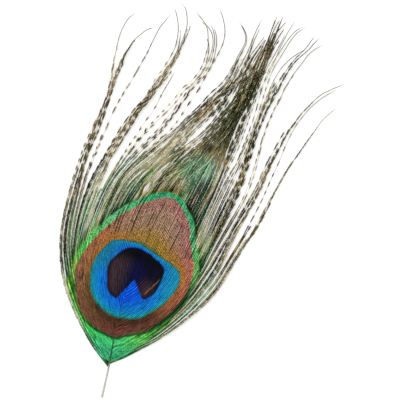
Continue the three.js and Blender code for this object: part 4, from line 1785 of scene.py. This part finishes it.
    def build(self) -> bpy.types.Material:
        """Makes the material.

        Returns:
            The material.
        """
        b = Bench(self.name)
        p = Place(b)
        shade = b.channel("shade")
        veil = p.turn.step(0.0, 0.03) * p.turn.step(0.2, 0.12) * shade.part(9.3).step(0.45, 0.6)
        lit = self.within(p, p.green) * (1.0 - veil * 0.8)
        colour = b.mix(lit, self.herl_colour(b, p), self.green_ring(b, p))
        colour = b.mix(self.within(p, p.bronze), colour, self.bronze_ring(b, p))
        # Painted shade in the splits between barbs: a dark line along one side of some barbs above the
        # middle of the eye.
        painted_split_shade = shade.part(17.9).step(0.62, 0.7) * p.dy.step(9.0, 12.0)
        painted_split_shade = painted_split_shade * b.noise(p.own, 0.075, 0.0).step(0.5, 0.54) * b.channel("edge").step(-0.2, 0.1)
        colour = b.mix(painted_split_shade * 0.9, colour, self.eye.painted_split_shade)
        left, right = (p.beyond(NOTCH_TIP, way) for way in NOTCH_WAYS)
        notch = left.least(right).step(-0.3, 0.3)
        colour = b.mix(self.within(p, p.blue), colour, self.blue_ring(b, p, notch))
        colour = b.mix(self.within(p, p.heart) * (1.0 - notch), colour, self.heart(b, p))
        grey = b.node("ShaderNodeCombineColor")
        factor = self.texture(b, p)
        for socket in grey.inputs[:3]:
            b.feed(socket, factor)
        colour = b.mix(1.0, colour, Wire(b, grey.outputs[0]), "MULTIPLY")
        b.surface(colour, self.roughness, self.specular)
        return b.material


@dataclass(frozen=True)
class ShaftFinish:
    """The horn of the shaft: pale at the cut end, green at the foot of the vane, and brown in the eye.

    Attributes:
        name: the material's name.
        stub: the dark and the pale streaks of the cut end.
        foot: those at the foot of the vane.
        inner: those in the eye.
    """

    name: str = "shaft_horn_finish"
    stub: tuple[Colour, Colour] = ((168, 166, 158), (214, 210, 200))
    foot: tuple[Colour, Colour] = ((20, 60, 34), (46, 92, 52))
    inner: tuple[Colour, Colour] = ((60, 40, 30), (84, 58, 44))

    def build(self) -> bpy.types.Material:
        """Makes the material.

        Returns:
            The material.
        """
        b = Bench(self.name)
        where, _, y = b.axes()
        streak = b.noise(where, 900.0, 3.0)
        stub, foot, inner = (b.mix(streak, *pair) for pair in (self.stub, self.foot, self.inner))
        colour = b.mix(y.step(9.0, 15.0), stub, foot)
        colour = b.mix(y.step(22.0, 27.0), colour, inner)
        b.surface(colour, 0.7, 0.15, streak)
        return b.material


@dataclass(frozen=True)
class GroundFinish:
    """A plain pale surface."""

    name: str = "ground_finish"

    def build(self) -> bpy.types.Material:
        """Makes the material.

        Returns:
            The material.
        """
        b = Bench(self.name)
        shader = b.surface((0.26, 0.26, 0.26, 1.0), 0.9, 0.0)
        shader.inputs["Emission Color"].default_value = (1.0, 1.0, 1.0, 1.0)
        shader.inputs["Emission Strength"].default_value = 0.6
        return b.material


# ------------------------------------------------------------------------------------------ assemblies


@dataclass
class Plumage:
    """Every barb of the feather, as one piece for each node of the frame.

    Attributes:
        seed: the seed of the small differences.
        pieces: the made pieces, by the node that each stands for.
    """

    seed: int = SEED
    pieces: dict[str, bpy.types.Object] = field(default_factory=dict)

    def build(self) -> None:
        """Lays out both flanks and makes their pieces."""
        rng = np.random.default_rng(self.seed)
        builder = BarbBuilder(rng)
        meshes: dict[str, FibreMesh] = {}
        for fan in (
            Fan(Flank.LEFT, LEFT_GUIDES, LEFT_STRANDS, LEFT_DENSITY),
            Fan(Flank.RIGHT, RIGHT_GUIDES, RIGHT_STRANDS, RIGHT_DENSITY),
        ):
            for barb in fan.barbs(rng):
                names = {
                    Zone.EYE: f"eye_{fan.flank.value}",
                    Zone.MARGIN: f"margin_{fan.flank.value}",
                    Zone.LOCK: barb.strand.node,
                }
                for zone, node in names.items():
                    if zone is Zone.EYE and barb.cuts[0] == 0:
                        continue
                    mesh = meshes.setdefault(node, FibreMesh(f"{node}_barbs"))
                    builder.lay(mesh, barb, zone)
        for node, mesh in meshes.items():
            self.pieces[node] = mesh.build()

    def dress(self) -> None:
        """Gives each piece its finish and body, and hides the frame's node that it stands for."""
        eye = VaneFinish("eye_vane_finish", roughness=0.42).build()
        green = VaneFinish("green_herl_finish", roughness=0.5).build()
        brown = VaneFinish("brown_herl_finish", roughness=0.6).build()
        for node, piece in self.pieces.items():
            kind = node.split("_")[0]
            finish, slot = {
                "eye": (eye, Slot.EYE),
                "margin": (green, Slot.GREEN),
                "lock": (brown, Slot.BROWN),
            }[kind]
            piece.data.materials.append(finish)
            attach(piece, "root")
            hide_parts(node)
            triangles = sum(len(p.vertices) - 2 for p in piece.data.polygons)
            LOG.info("%s: %d triangles", piece.name, triangles)


@dataclass
class Shaft:
    """The shaft, which keeps the frame's own shape."""

    def dress(self, node: bpy.types.Object) -> None:
        """Gives the frame's shaft its finish.

        Args:
            node: the frame's shaft.
        """
        finish = ShaftFinish().build()
        for slot in node.material_slots:
            slot.material = finish
        if not node.material_slots:
            node.data.materials.append(finish)
        LOG.info("shaft: horn finish")


@dataclass
class Studio:
    """The ground, the light and the camera.

    Attributes:
        aim: the point in the middle of the view, in mm from the frame's origin.
        turn: how far the camera is turned about its own axis, in degrees.
        distance: the camera's height over the feather, in mm.
        lens: the focal length, in mm.
        sky: the strength of the even light.
        key: the strength of the lamp, in watts.
        lamp_size: the lamp's diameter, in metres.
        lamp_place: where it stands, in metres.
        ground_size: half the width of the ground, in metres.
        sensor: the width of the camera's sensor, in mm.
        middle: the height of the feather's own middle, in mm.
    """

    aim: tuple[float, float] = (6.26, 3.43)
    turn: float = 20.0
    distance: float = 416.7
    lens: float = 100.0
    sky: float = 1.05
    key: float = 9.0
    lamp_size: float = 0.5
    lamp_place: tuple[float, float, float] = (-0.35, 0.25, 0.85)
    ground_size: float = 3.0
    sensor: float = 36.0
    middle: float = 2.0

    def build(self) -> None:
        """Makes the ground, the world, the lamp and the camera."""
        scene = bpy.context.scene
        scene.view_settings.view_transform = "Standard"
        bm = bmesh.new()
        bmesh.ops.create_grid(bm, x_segments=1, y_segments=1, size=self.ground_size)
        mesh = bpy.data.meshes.new("ground")
        bm.to_mesh(mesh)
        bm.free()
        ground = bpy.data.objects.new("ground", mesh)
        scene.collection.objects.link(ground)
        mesh.materials.append(GroundFinish().build())
        world = bpy.data.worlds.new("studio")
        world.use_nodes = True
        background = world.node_tree.nodes["Background"]
        background.inputs[0].default_value = (1.0, 1.0, 1.0, 1.0)
        background.inputs[1].default_value = self.sky
        scene.world = world
        lamp = bpy.data.lights.new("key", "AREA")
        lamp.shape = "DISK"
        lamp.size = self.lamp_size
        lamp.energy = self.key
        key = bpy.data.objects.new("key", lamp)
        key.location = self.lamp_place
        key.rotation_euler = (-key.location).to_track_quat("-Z", "Y").to_euler()
        scene.collection.objects.link(key)
        data = bpy.data.cameras.new("camera")
        data.type = "PERSP"
        data.lens = self.lens
        data.sensor_width = self.sensor
        camera = bpy.data.objects.new("camera", data)
        height = self.distance + self.middle
        camera.location = (self.aim[0] * MM, self.aim[1] * MM, height * MM)
        camera.rotation_euler = (0.0, 0.0, math.radians(self.turn))
        scene.collection.objects.link(camera)
        scene.camera = camera
        LOG.info("studio: ground, key lamp and camera")


def main() -> None:
    """Builds the feather and its studio."""
    logging.basicConfig(level=logging.INFO, format="%(name)s %(message)s")
    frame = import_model()
    Shaft().dress(frame["nodes"]["shaft"])
    plumage = Plumage()
    plumage.build()
    plumage.dress()
    Studio().build()


if __name__ == "__main__":
    main()
